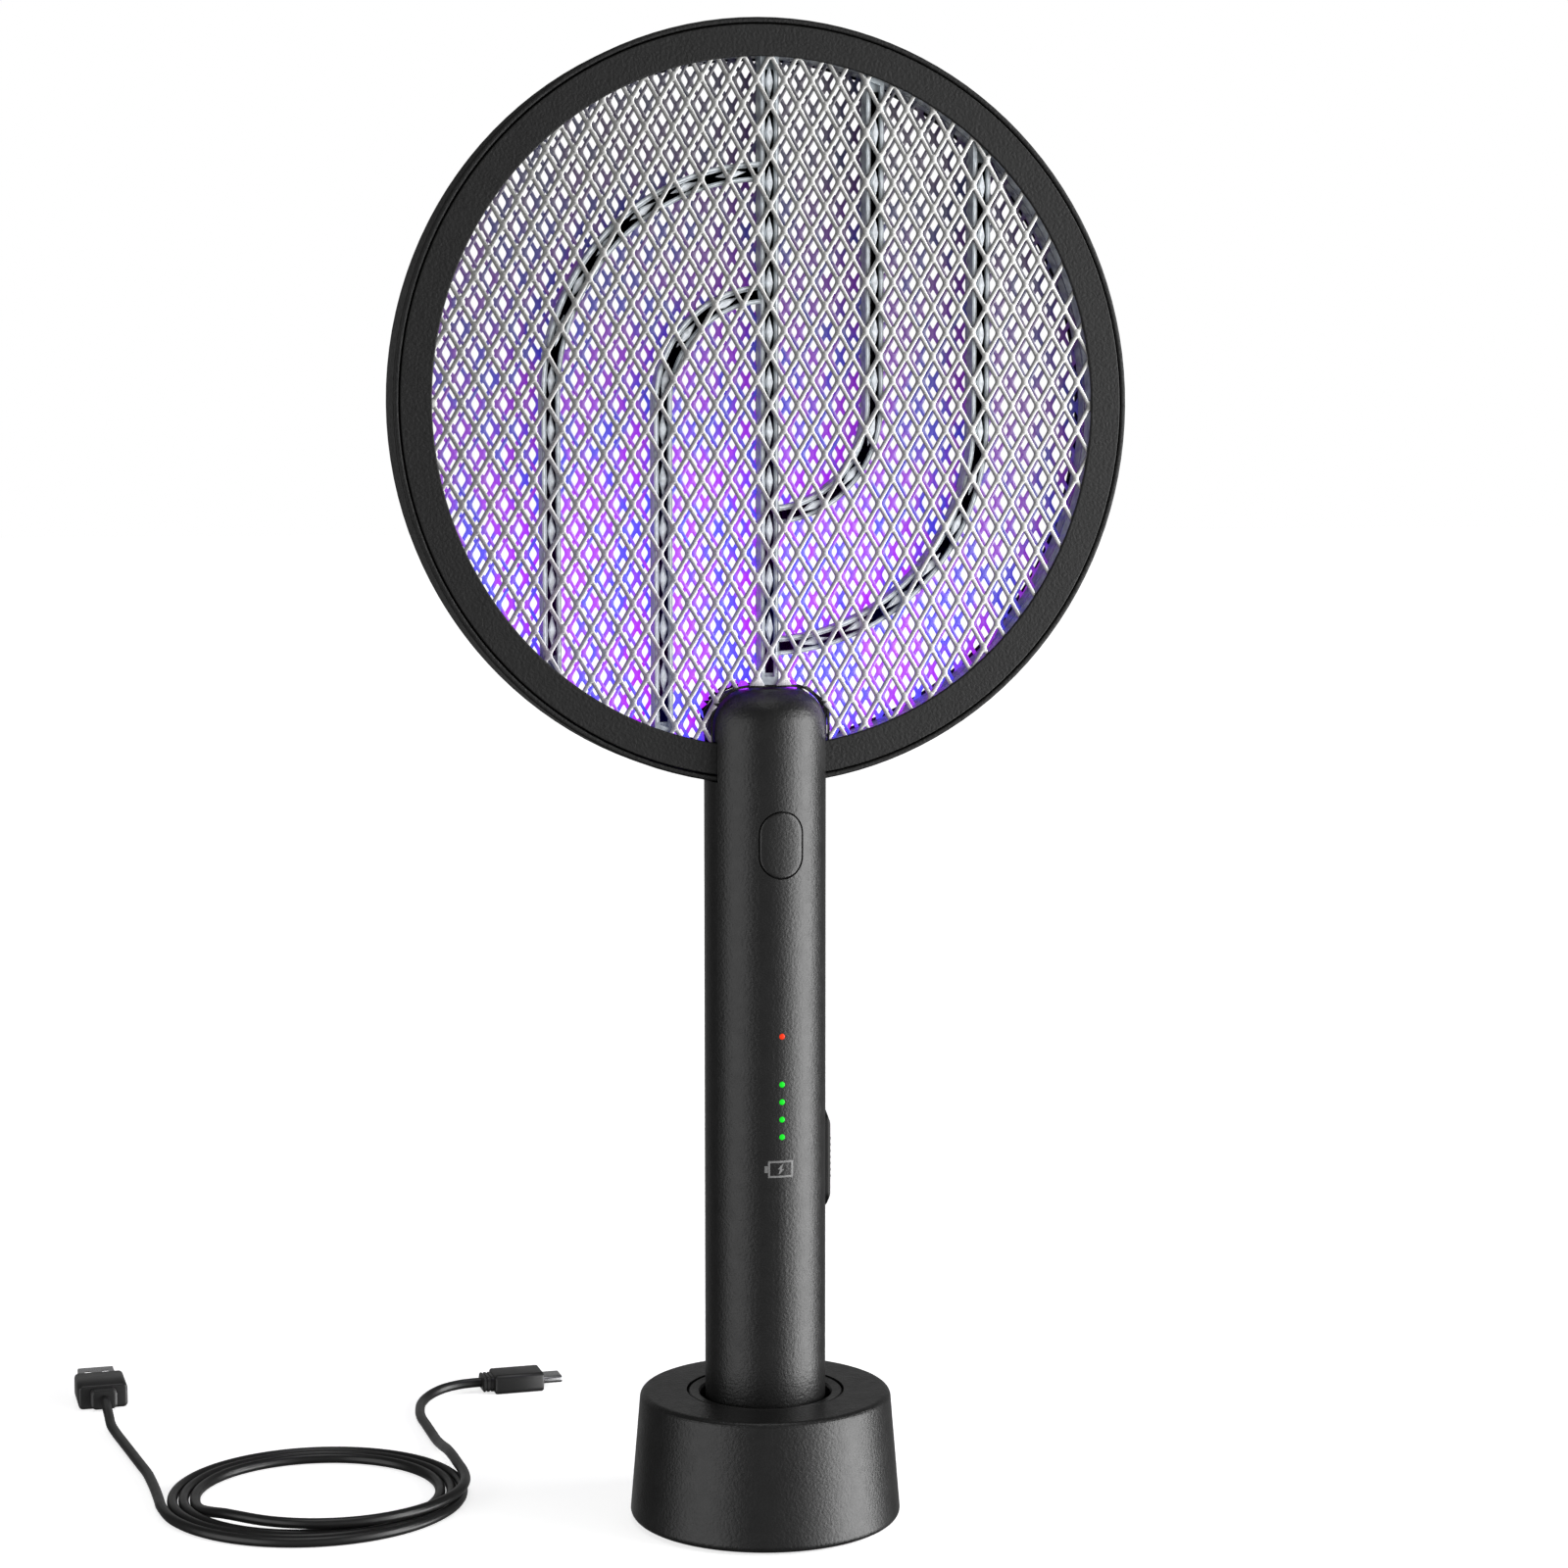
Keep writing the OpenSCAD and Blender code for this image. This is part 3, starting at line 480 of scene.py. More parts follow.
def coil_points():
    """Three turns inwards on the surface, then half a turn back out across the top of them."""
    points, turns, per_turn = [], 3, 24
    low = CORD_D / 2
    for i in range(turns * per_turn):
        turn = i / per_turn
        a = math.radians(180 + 360 * turn)
        r = COIL_R - COIL_PITCH * turn
        points.append((COIL_X + r * math.cos(a), COIL_Y + r * math.sin(a), low))
    inner, outer = COIL_R - turns * COIL_PITCH, ROUTE_C[0][0] - COIL_X
    climb, steps = ROUTE_C[0][2] - low, 16
    for i in range(steps + 1):
        q = i / steps
        a = math.radians(180 + 180 * q)
        r = inner + (outer - inner) * ease(q, 0.15, 1.0)
        z = low + climb * ease(q, 0.0, 0.24)
        points.append((COIL_X + r * math.cos(a), COIL_Y + r * math.sin(a), z))
    return points


def smooth_line(points, step=2.5):
    """Points a few millimetres apart on a smooth line through the points given."""
    line = []
    for i in range(len(points) - 1):
        p0, p1, p2, p3 = (Vector(points[min(max(i + k, 0), len(points) - 1)]) for k in (-1, 0, 1, 2))
        n = max(1, round((p2 - p1).length / step))
        for j in range(n):
            t = j / n
            line.append(0.5 * (2 * p1 + (p2 - p0) * t + (2 * p0 - 5 * p1 + 4 * p2 - p3) * t * t
                               + (3 * p1 - p0 - 3 * p2 + p3) * t ** 3))
    return line + [Vector(points[-1])]


def make_lead():
    """The cord as one smooth curve, and its length in metres."""
    line = smooth_line(ROUTE_A + coil_points() + ROUTE_C)
    off_floor = 0.05
    curve = bpy.data.curves.new("usb_lead", "CURVE")
    curve.dimensions = "3D"
    curve.bevel_depth = CORD_D / 2 * MM
    curve.bevel_resolution = 6
    curve.use_fill_caps = True
    spline = curve.splines.new("POLY")
    spline.points.add(len(line) - 1)
    for point, p in zip(spline.points, line):
        point.co = (p.x * MM, p.y * MM, (p.z + off_floor) * MM, 1)
    spline.use_smooth = True
    lead = new_object("usb_lead", curve, LOOK["cord_jacket"], "dock", "cord_jacket")
    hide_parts("lead_tube_a", "lead_tube_c", "lead_coil")
    length = sum((b - a).length for a, b in zip(line, line[1:])) * MM
    print(f"lead length {length:.3f} m")
    return lead, length


lead, lead_length = make_lead()


# ---------- head ----------

def clip(poly, nx, nz, d):
    """Keeps the part of a convex outline where nx * x + nz * z <= d."""
    kept = []
    for i, p in enumerate(poly):
        q = poly[(i + 1) % len(poly)]
        a, b = nx * p[0] + nz * p[1] - d, nx * q[0] + nz * q[1] - d
        if a <= 0:
            kept.append(p)
        if a * b < 0:
            t = a / (a - b)
            kept.append((p[0] + (q[0] - p[0]) * t, p[1] + (q[1] - p[1]) * t))
    return kept


def area(poly):
    """Area of an outline."""
    return abs(sum(p[0] * q[1] - q[0] * p[1] for p, q in zip(poly, poly[1:] + poly[:1]))) / 2


def cell_centres():
    """Centres of the diamond openings, row by row, over the whole disc."""
    b = PITCH_Z / 2
    rows = math.ceil(BORDER_R / b) + 1
    columns = math.ceil(BORDER_R / PITCH_X) + 1
    for j in range(-rows, rows + 1):
        for i in range(-columns, columns + 1):
            yield (i + (abs(j) % 2) / 2) * PITCH_X, j * b + b


def diamond(x, z, half_strand):
    """One opening of the expanded metal: a diamond, its side corners round where the strands meet."""
    side_r, tip_r = 1.3, 0.3
    a, b = PITCH_X / 2, PITCH_Z / 2
    s = 1 - half_strand * math.hypot(a, b) / (a * b)
    lean = math.degrees(math.atan2(a, b))
    side = s * a - side_r / math.cos(math.radians(lean))
    tip = s * b - tip_r / math.sin(math.radians(lean))
    return (arc(x + side, z, side_r, -lean, lean, 4)
            + arc(x, z + tip, tip_r, lean, 180 - lean, 2)
            + arc(x - side, z, side_r, 180 - lean, 180 + lean, 4)
            + arc(x, z - tip, tip_r, 180 + lean, 360 - lean, 2))


def clip_to_border(poly, x, z):
    """Cuts an opening off at the border by a fan of straight cuts about the opening's own direction."""
    start = math.atan2(z, x)
    for k in range(-14, 15):
        a = start + math.radians(k * 0.8)
        poly = clip(poly, math.cos(a), math.sin(a), BORDER_R)
    return poly


def clip_to_notch(poly, x, z, half_w):
    """Cuts an opening off beside the notch, above it or round its corner."""
    border = 0.7
    side = 1 if x >= 0 else -1
    corner_x, corner_z = half_w - HANDLE_ROUND, NOTCH_Z - HANDLE_ROUND
    if z < corner_z:
        return clip(poly, -side, 0, -(half_w + border))
    if abs(x) < corner_x:
        return clip(poly, 0, -1, -(NOTCH_Z + border))
    dx, dz = abs(x) - corner_x, z - corner_z
    far = math.hypot(dx, dz)
    nx, nz = side * dx / far, dz / far
    reach = HANDLE_ROUND + border + nx * side * corner_x + nz * corner_z
    return clip(poly, -nx, -nz, -reach)


def sheet_openings(half_w, strand, shift):
    """Openings cut off at the border and round the notch that takes the handle."""
    near_x, near_z, least_area = half_w + 6, NOTCH_Z + 9, 1.5
    for x, z in cell_centres():
        x += shift
        if math.hypot(x, z) > BORDER_R + PITCH_Z / 2:
            continue
        poly = diamond(x, z, strand / 2)
        if max(math.hypot(*p) for p in poly) > BORDER_R:
            poly = clip_to_border(poly, x, z)
        if abs(x) < near_x and z < near_z:
            poly = clip_to_notch(poly, x, z, half_w)
        if len(poly) >= 3 and area(poly) > least_area:
            yield poly


def outline_mesh(name, outlines, thickness, edge, y):
    """A flat plate with openings, upright at depth y, its edges rounded over."""
    curve = bpy.data.curves.new(name, "CURVE")
    curve.dimensions = "2D"
    curve.fill_mode = "BOTH"
    curve.extrude = (thickness / 2 - edge) * MM
    curve.bevel_depth = edge * MM
    curve.offset = -edge * MM
    curve.bevel_resolution = 1
    for outline in outlines:
        spline = curve.splines.new("POLY")
        spline.points.add(len(outline) - 1)
        for point, (x, z) in zip(spline.points, outline):
            point.co = (x * MM, z * MM, 0, 1)
        spline.use_cyclic_u = True
    holder = bpy.data.objects.new(name, curve)
    mesh = bpy.data.meshes.new_from_object(holder)
    bpy.data.objects.remove(holder)
    bpy.data.curves.remove(curve)
    for v in mesh.vertices:
        x, z, depth = v.co
        v.co = (x, y * MM - depth, HEAD_Z * MM + z)
    tidy(mesh, 25)
    mesh.name = name
    return mesh


def notch_outline(half_w):
    """Outline of the opening that the handle's top comes through."""
    low = -math.sqrt(BORDER_R ** 2 - half_w ** 2)
    inside, middle_z = half_w - HANDLE_ROUND, NOTCH_Z - HANDLE_ROUND
    spread = math.degrees(math.asin(half_w / BORDER_R))
    bottom = arc(0, 0, BORDER_R, -90 - spread, spread - 90, 16)
    return (bottom + [(half_w, low + 1)] + arc(inside, middle_z, HANDLE_ROUND, 0, 90, 12)
            + arc(-inside, middle_z, HANDLE_ROUND, 90, 180, 12) + [(-half_w, low + 1)])


def in_notch(x, z, half_w):
    """Whether a point lies in the notch for the handle, here taken half_w to each side."""
    round_r = HANDLE_ROUND + LIP_W
    middle_z = NOTCH_Z - HANDLE_ROUND
    side = abs(x) - (half_w - round_r)
    if z <= middle_z:
        return abs(x) < half_w
    return z < middle_z + round_r and (side <= 0 or math.hypot(side, z - middle_z) < round_r)


def make_sheets():
    """The three expanded-metal sheets, each with a black lip where it meets the handle."""
    rim = arc(0, 0, MESH_R, 0, 360, 256)[:-1]
    sheets = (("front_mesh", "mesh_front", NOTCH_HALF_W, 0.0),
              ("centre_mesh", "mesh_middle", MIDDLE_NOTCH_HALF_W, MIDDLE_SHIFT),
              ("rear_mesh", "mesh_rear", NOTCH_HALF_W, 0.0))
    for (node, look, half_w, shift), y, strand in zip(sheets, SHEET_Y, STRANDS):
        outlines = [rim, notch_outline(half_w), *sheet_openings(half_w, strand, shift)]
        mesh = outline_mesh(node + "_expanded", outlines, MESH_T, STRAND_EDGE, y)
        sheet = new_object(node + "_expanded", mesh, LOOK[look], "racket", "mesh_metal")
        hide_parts(node)
        mesh.materials.append(LOOK["handle_plastic"])
        for face in mesh.polygons:
            x, z = face.center.x / MM, face.center.z / MM - HEAD_Z
            if in_notch(x, z, half_w + LIP_W):
                face.material_index = 1


make_sheets()


def rib_paths():
    """Middle lines of the ribs, bottom to top, as points a little over a millimetre apart."""
    step, reach, foot, gap = RIB_STEP, 97.5, -78.0, 3.2
    paths = [[(0.0, foot + i * step) for i in range(int((reach - foot) / step))]]
    for radius, shift in ((RIB_OUT, SWIRL_SHIFT), (RIB_IN, 0.0)):
        swirl = SWIRL if shift else 0.0
        end = math.sqrt(reach ** 2 - radius ** 2)
        trim = math.degrees(math.asin(gap / radius))
        turns = round(math.radians(90 - trim) * radius / step)
        low, high = swirl - shift, swirl + shift
        paths.append(arc(0, low, radius, -90 + trim, 0, turns)
                     + [(radius, low + i * step) for i in range(1, int((end - low) / step))])
        paths.append([(-radius, high - i * step) for i in range(int((end + high) / step), 0, -1)]
                     + arc(0, high, radius, 180, 90 + trim, turns))
    return paths


def sweep(path, section):
    """Rings of a section carried along a path; the section's points are offsets to the right and depths."""
    rings = []
    for i, (x, z) in enumerate(path):
        ahead, behind = path[min(i + 1, len(path) - 1)], path[max(i - 1, 0)]
        tx, tz = ahead[0] - behind[0], ahead[1] - behind[1]
        size = math.hypot(tx, tz)
        rings.append([upright(x + u * tz / size, z - u * tx / size, y) for u, y in section])
    return rings


def ridge(middle, half, foot, top):
    """Section of a fine raised line."""
    crown = half * 0.55
    return [(middle - half, foot), (middle - crown, top), (middle + crown, top), (middle + half, foot)]


def first_stud(path):
    """Step of the first stud, so that on a straight rib every stud meets the openings at the same place."""
    side = max(abs(x) for x, z in path)
    i, z = next((i, z) for i, (x, z) in enumerate(path) if abs(x) > side - 0.01)
    return round(i + (PITCH_Z / 2 - z) % PITCH_Z / RIB_STEP) % STUD_STEPS


def painted_shadow_strip():
    """Section of a strip on the channel floor, painted dark as the shadow seen between the studs."""
    left, right, top = -1.12, 1.45, CHANNEL_FLOOR - 0.1
    return [(left, CHANNEL_FLOOR), (left, top), (right, top), (right, CHANNEL_FLOOR)]


def stud(path, i):
    """A long diamond standing up from the channel, turned along the rib; it is given the painted highlight
    colour.
    """
    (x, z), ahead, behind = path[i], path[i + 1], path[i - 1]
    turn = math.atan2(ahead[0] - behind[0], ahead[1] - behind[1])
    cos, sin = math.cos(turn), math.sin(turn)
    middle, half_w, half_l = 0.1, 1.2, 4.7
    rings = []
    for scale, y in ((1.0, CHANNEL_FLOOR), (1.0, STUD_EDGE), (0.6, STUD_TOP)):
        a, b = half_w * scale, half_l * scale
        corners = [(middle + u, v) for u, v in ((a, 0), (0, b), (-a, 0), (0, -b))]
        rings.append([upright(x + u * cos + v * sin, z - u * sin + v * cos, y) for u, v in corners])
    return rings


def make_rib_detail():
    """Fine raised lines and diamond studs along the channels of the front ribs, coloured lighter than the
    rib as painted highlight, over a floor strip painted dark as shadow.
    """
    lines = [ridge(2.1, 0.24, RIB_FACE, LINE_TOP), ridge(-1.35, 0.22, CHANNEL_FLOOR, STUD_EDGE),
             ridge(-2.1, 0.3, RIB_FACE, LINE_TOP)]
    # light gathers the studs and lines in the painted highlight colour, dark the floor strips painted as
    # shadow
    light, dark = [], []
    for path in rib_paths():
        light += [sweep(path, line) for line in lines]
        light += [stud(path, i) for i in range(first_stud(path), len(path) - 2, STUD_STEPS) if i > 1]
        # A strip on the channel floor painted dark as shadow
        dark.append(sweep(path, painted_shadow_strip()))
    new_object("rib_studs", lofts("rib_studs", light, 25), LOOK["rib_painted_highlight"], "racket", "rib_plastic")
    new_object("rib_painted_shadow_floors", lofts("rib_painted_shadow_floors", dark, 25), LOOK["rib_painted_shadow"], "racket", "rib_plastic")


make_rib_detail()


# ---------- handle ----------

def make_button():
    """The button's cap with the flange that keeps it in the handle."""
    flange_w, flange_h, flange_back, flange_r, gap = 15.1, 22, -12.6, 15.9, 0.7
    flange = stadium(flange_w, flange_h, 0.0, 28)
    cap = [(0.0, flange_r), (0.0, 17.7), (0.05, 17.9), (0.16, 18.03), (0.4, 18.11), (0.9, 18.14),
           (1.8, 18.12), (3.0, 18.07), (4.4, 18.02), (5.8, 18.0)]
    rings = [[(u, flange_back, BUTTON_Z + v) for u, v in flange]]
    rings.append([to_front(u, BUTTON_Z + v, flange_r) for u, v in flange])
    for inset, r in cap:
        outline = stadium(BUTTON_W - gap, BUTTON_H - gap, inset, 28)
        rings.append([to_front(u, BUTTON_Z + v, r) for u, v in outline])
    button = new_object("button_cap", loft("button_cap", rings), LOOK["button_plastic"], "power_button",
                        "button_plastic")
    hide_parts("power_button")


make_button()


def make_surround():
    """The switch's surround, lower towards its ends."""
    profile = [(0.0, 17.9), (0.0, 18.9), (0.12, 19.2), (0.45, 19.42), (0.95, 19.5), (1.5, 19.5),
               (1.75, 19.42), (1.88, 19.3), (1.9, 19.1), (1.95, 18.7), (2.6, 18.62), (4.2, 18.6)]
    base_r, slope = 17.9, 0.36
    rings = []
    for inset, r in profile:
        outline = [(u, v, base_r + slope * (SURROUND_L / 2 - abs(v)))
                   for u, v in stadium(SURROUND_W, SURROUND_L, inset, 24)]
        rings.append([to_side(u, SWITCH_Z + v, min(r, limit)) for u, v, limit in outline])
    mesh = loft("switch_surround", rings, cap_end=False)
    bezel = new_object("switch_surround", mesh, LOOK["bezel_plastic"], "racket", "bezel_plastic")
    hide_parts("switch_bezel")


def make_thumb_piece():
    """The switch's thumb piece and the stem that goes through the slot."""
    cap = [(0.0, 18.95), (0.0, 19.15), (0.12, 19.32), (0.4, 19.44), (1.0, 19.49), (2.2, 19.5), (3.6, 19.5)]
    thumb = [[to_side(u, SWITCH_Z + v, r) for u, v in stadium(THUMB_W, THUMB_L, inset, 24)]
             for inset, r in cap]
    stem = [[(x, u, SWITCH_Z + v) for u, v in rounded(3, 5, 0.5, inset)]
            for x, inset in ((13.7, 0.3), (14.0, 0.0), (19.2, 0.0))]
    mesh = lofts("switch_thumb_piece", [thumb, stem])
    knob = new_object("switch_thumb_piece", mesh, LOOK["knob_plastic"], "mode_switch", "knob_plastic")
    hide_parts("mode_knob")


def make_ridges():
    """Seven low ridges across the thumb piece, lower at their ends."""
    foot_r, pitch = 19.48, 1.9
    profile = [(-0.55, 0.0), (-0.4, 0.15), (-0.15, 0.22), (0.15, 0.22), (0.4, 0.15), (0.55, 0.0)]
    across = [(-2.9, 0.6), (-2.6, 1.0), (0, 1.0), (2.6, 1.0), (2.9, 0.6)]
    ridges = [[[(foot_r + h * lift, u, SWITCH_Z + i * pitch + dz) for dz, h in profile]
               for u, lift in across] for i in range(-3, 4)]
    mesh = lofts("switch_ridges", ridges, 50)
    new_object("switch_ridges", mesh, LOOK["knob_plastic"], "mode_switch", "knob_plastic")


make_surround()
make_thumb_piece()
make_ridges()


def make_light_pipes():
    """Light pipes with domed ends, one red and four green."""
    profile = [(PIPE_R, -10.7), (PIPE_R, -17.92), (PIPE_R * 0.92, -18.0), (PIPE_R * 0.72, -18.06),
               (PIPE_R * 0.4, -18.1), (0.05, -18.11)]
    green_heights = [GREEN_Z - i * GREEN_PITCH for i in range(4)]
    rows = (("red_light_dot", "red_light_pipe", "red_lens", [RED_Z]),
            ("green_light_dots", "green_light_pipes", "green_lens", green_heights))
    for name, node, slot, heights in rows:
        pipes = [[[(x, y, height + z) for x, z in arc(0, 0, r, 0, 345, 23)] for r, y in profile]
                 for height in heights]
        dots = new_object(name, lofts(name, pipes), LOOK[slot], "racket", slot)
        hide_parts(node)


make_light_pipes()


def curved_tile(corners):
    """Rings of a thin four-cornered tile that follows the handle's front, from left to right."""
    high_r, low_r, parts = 18.035, 17.96, 8
    rings = []
    for k in range(parts + 1):
        t = k / parts
        low = [corners[0][i] + (corners[1][i] - corners[0][i]) * t for i in (0, 1)]
        high = [corners[3][i] + (corners[2][i] - corners[3][i]) * t for i in (0, 1)]
        rings.append([to_front(u, MARK_Z + v, r) for (u, v), r in
                      ((low, high_r), (high, high_r), (high, low_r), (low, low_r))])
    return rings


def make_battery_mark():
    """A small printed battery sign: a box, its tip and a spark, just proud of the handle."""
    w, h, line, left = 7.6, 5.0, 0.6, -0.4
    boxes = [(-w / 2, w / 2, h / 2 - line, h / 2), (-w / 2, w / 2, -h / 2, line - h / 2),
             (-w / 2, line - w / 2, line - h / 2, h / 2 - line),
             (w / 2 - line, w / 2, line - h / 2, h / 2 - line), (-w / 2 - 1.0, -w / 2 - 0.05, -1.0, 1.0)]
    shapes = [[(x0, z0), (x1, z0), (x1, z1), (x0, z1)] for x0, x1, z0, z1 in boxes]
    shapes.append([(-0.95, 0.0), (0.2, 0.0), (0.75, 1.5), (0.45, 1.5)])
    shapes.append([(-0.75, -1.5), (-0.45, -1.5), (0.95, 0.0), (-0.2, 0.0)])
    tiles = [curved_tile([(x + left, z) for x, z in shape]) for shape in shapes]
    mesh = lofts("battery_mark", tiles)
    new_object("battery_mark", mesh, LOOK["printed"], "racket", "handle_plastic")


make_battery_mark()


# ---------- plugs ----------

def along_plug_a(x, y, d):
    """A point of the large plug: x across, y up from its middle, d along it."""
    return (ROUTE_A[0][0] + x, ROUTE_A[0][1] + d, ROUTE_A[0][2] + y)


def along_plug_c(x, y, d):
    """The same for the small plug."""
    end = ROUTE_C[-1]
    return (end[0] + d, end[1] - x, end[2] + y)


def plug_body(name, node, place, size, neck_size, neck, length):
    """A moulded plug body on a ridged neck; a size is the width, the height and the corners' radius."""
    first_groove, ends = 0.9, 1.2
    groove = ((0.0, 0.0), (0.15, 0.3), (0.55, 0.3), (0.7, 0.0))
    sections = [(d, neck_size, inset) for d, inset in ((0.0, 0.9), (0.15, 0.35), (0.4, 0.0))]
    for k in range(2):
        base = first_groove + k * (neck - ends) / 2
        sections += [(base + d, neck_size, inset) for d, inset in groove]
    sections.append((neck - 0.05, neck_size, 0.0))
    back_edge = ((0.0, 0.9), (0.08, 0.5), (0.3, 0.2), (0.65, 0.0))
    sections += [(neck + d, size, inset) for d, inset in back_edge]
    front_edge = ((-0.65, 0.0), (-0.3, 0.14), (-0.08, 0.4), (0.0, 0.8))
    sections += [(neck + length + d, size, inset) for d, inset in front_edge]
    rings = [[place(x, y, d) for x, y in rounded(*outline, inset)] for d, outline, inset in sections]
    body = new_object(name, loft(name, rings), LOOK["plug_plastic"], "dock", "plug_plastic")
    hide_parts(node)


def cut(obj, cutters):
    """Takes the cutters out of an object and removes them."""
    for cutter in cutters:
        modifier = obj.modifiers.new("cut", "BOOLEAN")
        modifier.operation = "DIFFERENCE"
        modifier.solver = "EXACT"
        modifier.object = cutter
    bpy.context.view_layer.update()
    evaluated = obj.evaluated_get(bpy.context.evaluated_depsgraph_get())
    mesh = bpy.data.meshes.new_from_object(evaluated)
    obj.modifiers.clear()
    obj.data = mesh
    for cutter in cutters:
        bpy.data.objects.remove(cutter)
    tidy(mesh, 30)


def box_cutter(low, high):
    """A box from one corner to the other, to cut with."""
    points = [(x, y, z) for x in (low[0], high[0]) for y in (low[1], high[1]) for z in (low[2], high[2])]
    faces = [(0, 1, 3, 2), (4, 6, 7, 5), (0, 4, 5, 1), (2, 3, 7, 6), (0, 2, 6, 4), (1, 5, 7, 3)]
    mesh = mesh_from("cutter", points, faces)
    cutter = bpy.data.objects.new("cutter", mesh)
    bpy.context.scene.collection.objects.link(cutter)
    return cutter


def make_plug_a():
    """The large plug: moulding, metal shell with its windows and seam, and four contacts."""
    plug_body("usb_a_moulding", "usb_a_housing", along_plug_a, (16.2, 8.0, 1.5), (8.4, 6.4, 1.6), 4.2, 17.7)
    start, end, w, h = 21.9, 34.15, 12.0, 4.5
    rings = []
    for d, less in ((start, 0.0), (end - 0.25, 0.0), (end - 0.06, 0.08), (end, 0.25), (end, 0.5),
                    (end - 0.15, 0.6), (start + 0.4, 0.6)):
        rings.append([along_plug_a(x, y, d) for x, y in rounded(w - less, h - less, 0.45, 0.0, 4)])
    mesh = loft("usb_a_metal", rings)
    shell = new_object("usb_a_metal", mesh, LOOK["plug_metal"], "dock", "plug_metal")
    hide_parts("usb_a_shell")
    cutters, window, near, far = [], 1.15, start + 5.2, start + 7.4
    for x in (-2.9, 2.9):
        for y0, y1 in ((1.5, 3.0), (-3.0, -2.0)):
            low, high = along_plug_a(x - window, y0, near), along_plug_a(x + window, y1, far)
            cutters.append(box_cutter(low, high))
    seam = 0.04
    low, high = along_plug_a(-seam, -3.0, start + 0.8), along_plug_a(seam, -1.99, end + 1)
    cutters.append(box_cutter(low, high))
    cut(shell, cutters)
    bars, half_w, foot = [], 0.5, -0.1
    for x, reach in ((-3.5, 11.2), (-1.0, 10.2), (1.0, 10.2), (3.5, 11.2)):
        bar = []
        for d, top in ((1.1, 0.0), (reach - 1.0, 0.0), (reach - 0.3, -0.03), (reach, -0.09)):
            section = ((-half_w, foot), (-half_w, top), (half_w, top), (half_w, foot))
            bar.append([along_plug_a(x + dx, y, start + d) for dx, y in section])
        bars.append(bar)
    mesh = lofts("usb_a_contacts", bars)
    new_object("usb_a_contacts", mesh, LOOK["contact_gold"], "dock", "contact_gold")


def make_plug_c():
    """The small plug: moulding and oval metal shell."""
    plug_body("usb_c_moulding", "usb_c_housing", along_plug_c, (12.4, 6.6, 1.7), (9.2, 5.2, 1.6), 3.9, 16.9)
    start, end, w, h = 20.8, 27.45, 8.25, 2.4
    rings = []
    for d, less in ((start, 0.0), (end - 0.35, 0.0), (end - 0.1, 0.15), (end, 0.3), (end, 0.5),
                    (end - 0.12, 0.6), (start + 0.8, 0.6)):
        rings.append([along_plug_c(x, y, d) for y, x in stadium(h - less, w - less, 0.0, 14)])
    mesh = loft("usb_c_metal", rings)
    shell = new_object("usb_c_metal", mesh, LOOK["plug_metal"], "dock", "plug_metal")
    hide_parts("usb_c_shell")


make_plug_a()
make_plug_c()
tuple(c * MM for c in ROUTE_A[0])


# ---------- floor and light ----------

def make_floor():
    """A plain white floor that fades to the backdrop with distance."""
    mesh = bpy.data.meshes.new("floor")
    half, fade = 12.0, 3.0
    corners = [(-half, -half, 0), (half, -half, 0), (half, half, 0), (-half, half, 0)]
    mesh.from_pydata(corners, [], [(0, 1, 2, 3)])
    floor = bpy.data.objects.new("floor", mesh)
    bpy.context.scene.collection.objects.link(floor)
    paint = Paint("floor_white", (0.93, 0.93, 0.93), 0.7, Specular_IOR_Level=0.1)
    paint.tint(paint.noise(300, 2), 0.995, 1.005)
    far = paint.maths("DIVIDE", paint.vector("DISTANCE", paint.where, (0.0, 0.0, 0.0)), fade)
    paint.join(paint.ramp(far, [(0.12, 0.7), (0.5, 0.91), (1.0, 0.95)]), "Emission Color")
    paint.set("Emission Strength", 1.0)
    mesh.materials.append(paint.mat)
    floor.visible_glossy = False
    floor.visible_diffuse = False
    floor.visible_shadow = False


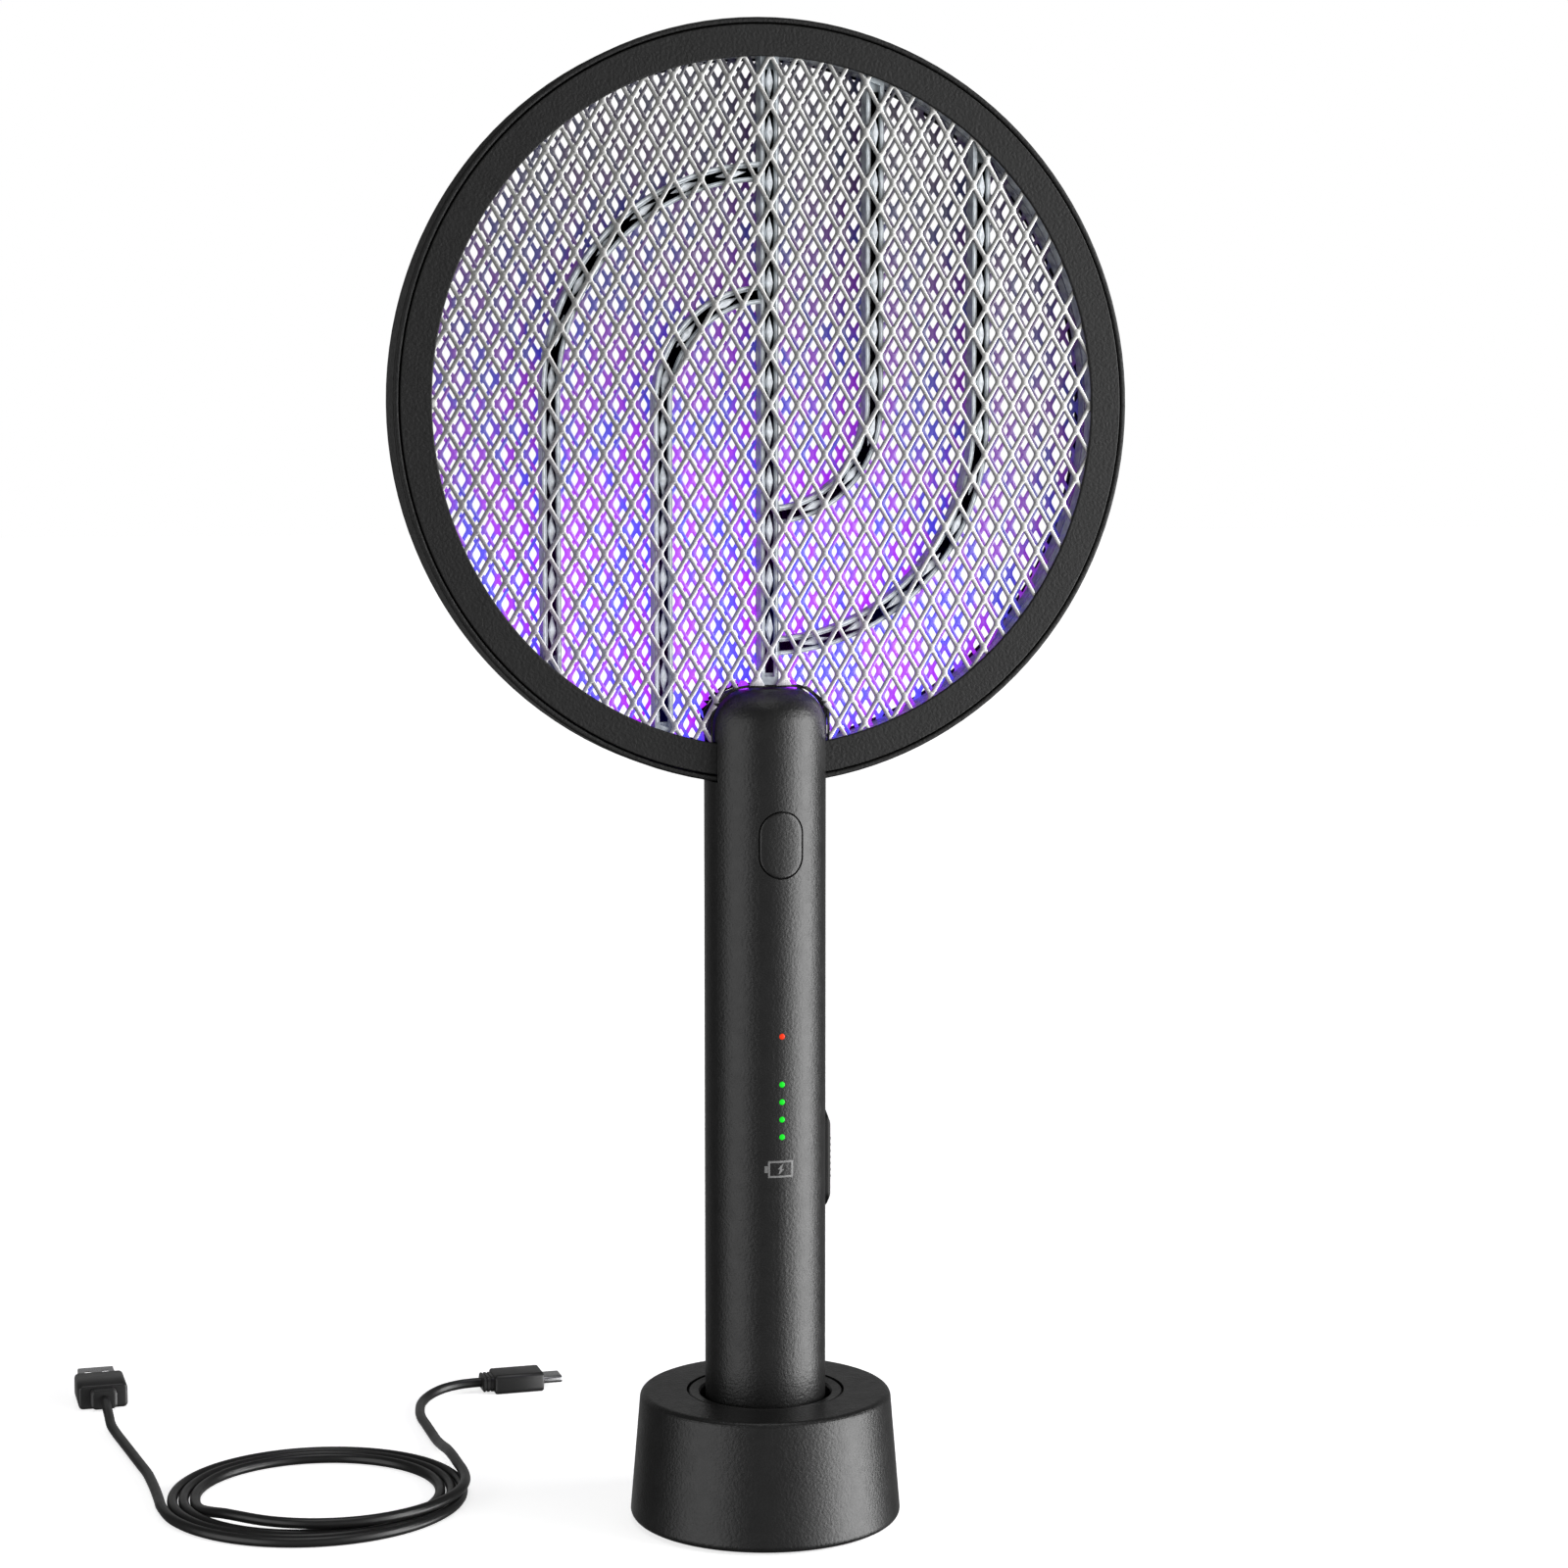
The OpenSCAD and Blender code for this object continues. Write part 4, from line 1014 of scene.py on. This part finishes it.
def soft_box(name, azimuth, spread, radiance, low=-0.8, high=1.1):
    """An upright light panel that looks equally bright from every part of the object."""
    distance, turn = 1.5, math.radians(azimuth)
    data = bpy.data.lights.new(name, "AREA")
    data.shape = "RECTANGLE"
    data.size = 2 * distance * math.tan(math.radians(spread / 2))
    data.size_y = high - low
    data.energy = radiance * math.pi * data.size * data.size_y
    light = bpy.data.objects.new(name, data)
    bpy.context.scene.collection.objects.link(light)
    light.location = (distance * math.sin(turn), -distance * math.cos(turn), (low + high) / 2)
    aim = Vector((-light.location.x, -light.location.y, 0.0))
    light.rotation_mode = "QUATERNION"
    light.rotation_quaternion = aim.to_track_quat("-Z", "Y")


def make_lamps():
    """Soft panels round the object and a weak soft light from above."""
    soft_box("key_box", 65, 47, 6.9)
    soft_box("front_fill", 30, 20, 1.5)
    soft_box("front_box", -8, 50, 0.22)
    soft_box("left_box", -70, 52, 1.5)
    soft_box("back_box", 172, 64, 0.2, low=-0.8, high=0.25)
    soft_box("back_strip", 172, 64, 0.25, low=0.25, high=0.7)
    data = bpy.data.lights.new("overhead", "SUN")
    data.energy = 0.45
    data.angle = math.radians(32)
    overhead = bpy.data.objects.new("overhead", data)
    bpy.context.scene.collection.objects.link(overhead)
    overhead.location = (0, 0, 3)


def make_world():
    """White where the camera sees it, and nearly dark as a light."""
    world = bpy.data.worlds.new("studio")
    bpy.context.scene.world = world
    world.use_nodes = True
    nodes, links = world.node_tree.nodes, world.node_tree.links
    back = nodes["Background"]
    seen = nodes.new("ShaderNodeBackground")
    for node, strength in ((back, 0.07), (seen, 1.0)):
        node.inputs["Color"].default_value = (1, 1, 1, 1)
        node.inputs["Strength"].default_value = strength
    path = nodes.new("ShaderNodeLightPath")
    mix = nodes.new("ShaderNodeMixShader")
    links.new(path.outputs["Is Camera Ray"], mix.inputs["Fac"])
    links.new(back.outputs[0], mix.inputs[1])
    links.new(seen.outputs[0], mix.inputs[2])
    links.new(mix.outputs[0], nodes["World Output"].inputs["Surface"])


def set_view():
    view = bpy.context.scene.view_settings
    view.view_transform = "Standard"
    view.look = "None"
    view.exposure = 0
    view.gamma = 1


make_floor()
make_lamps()
make_world()
set_view()
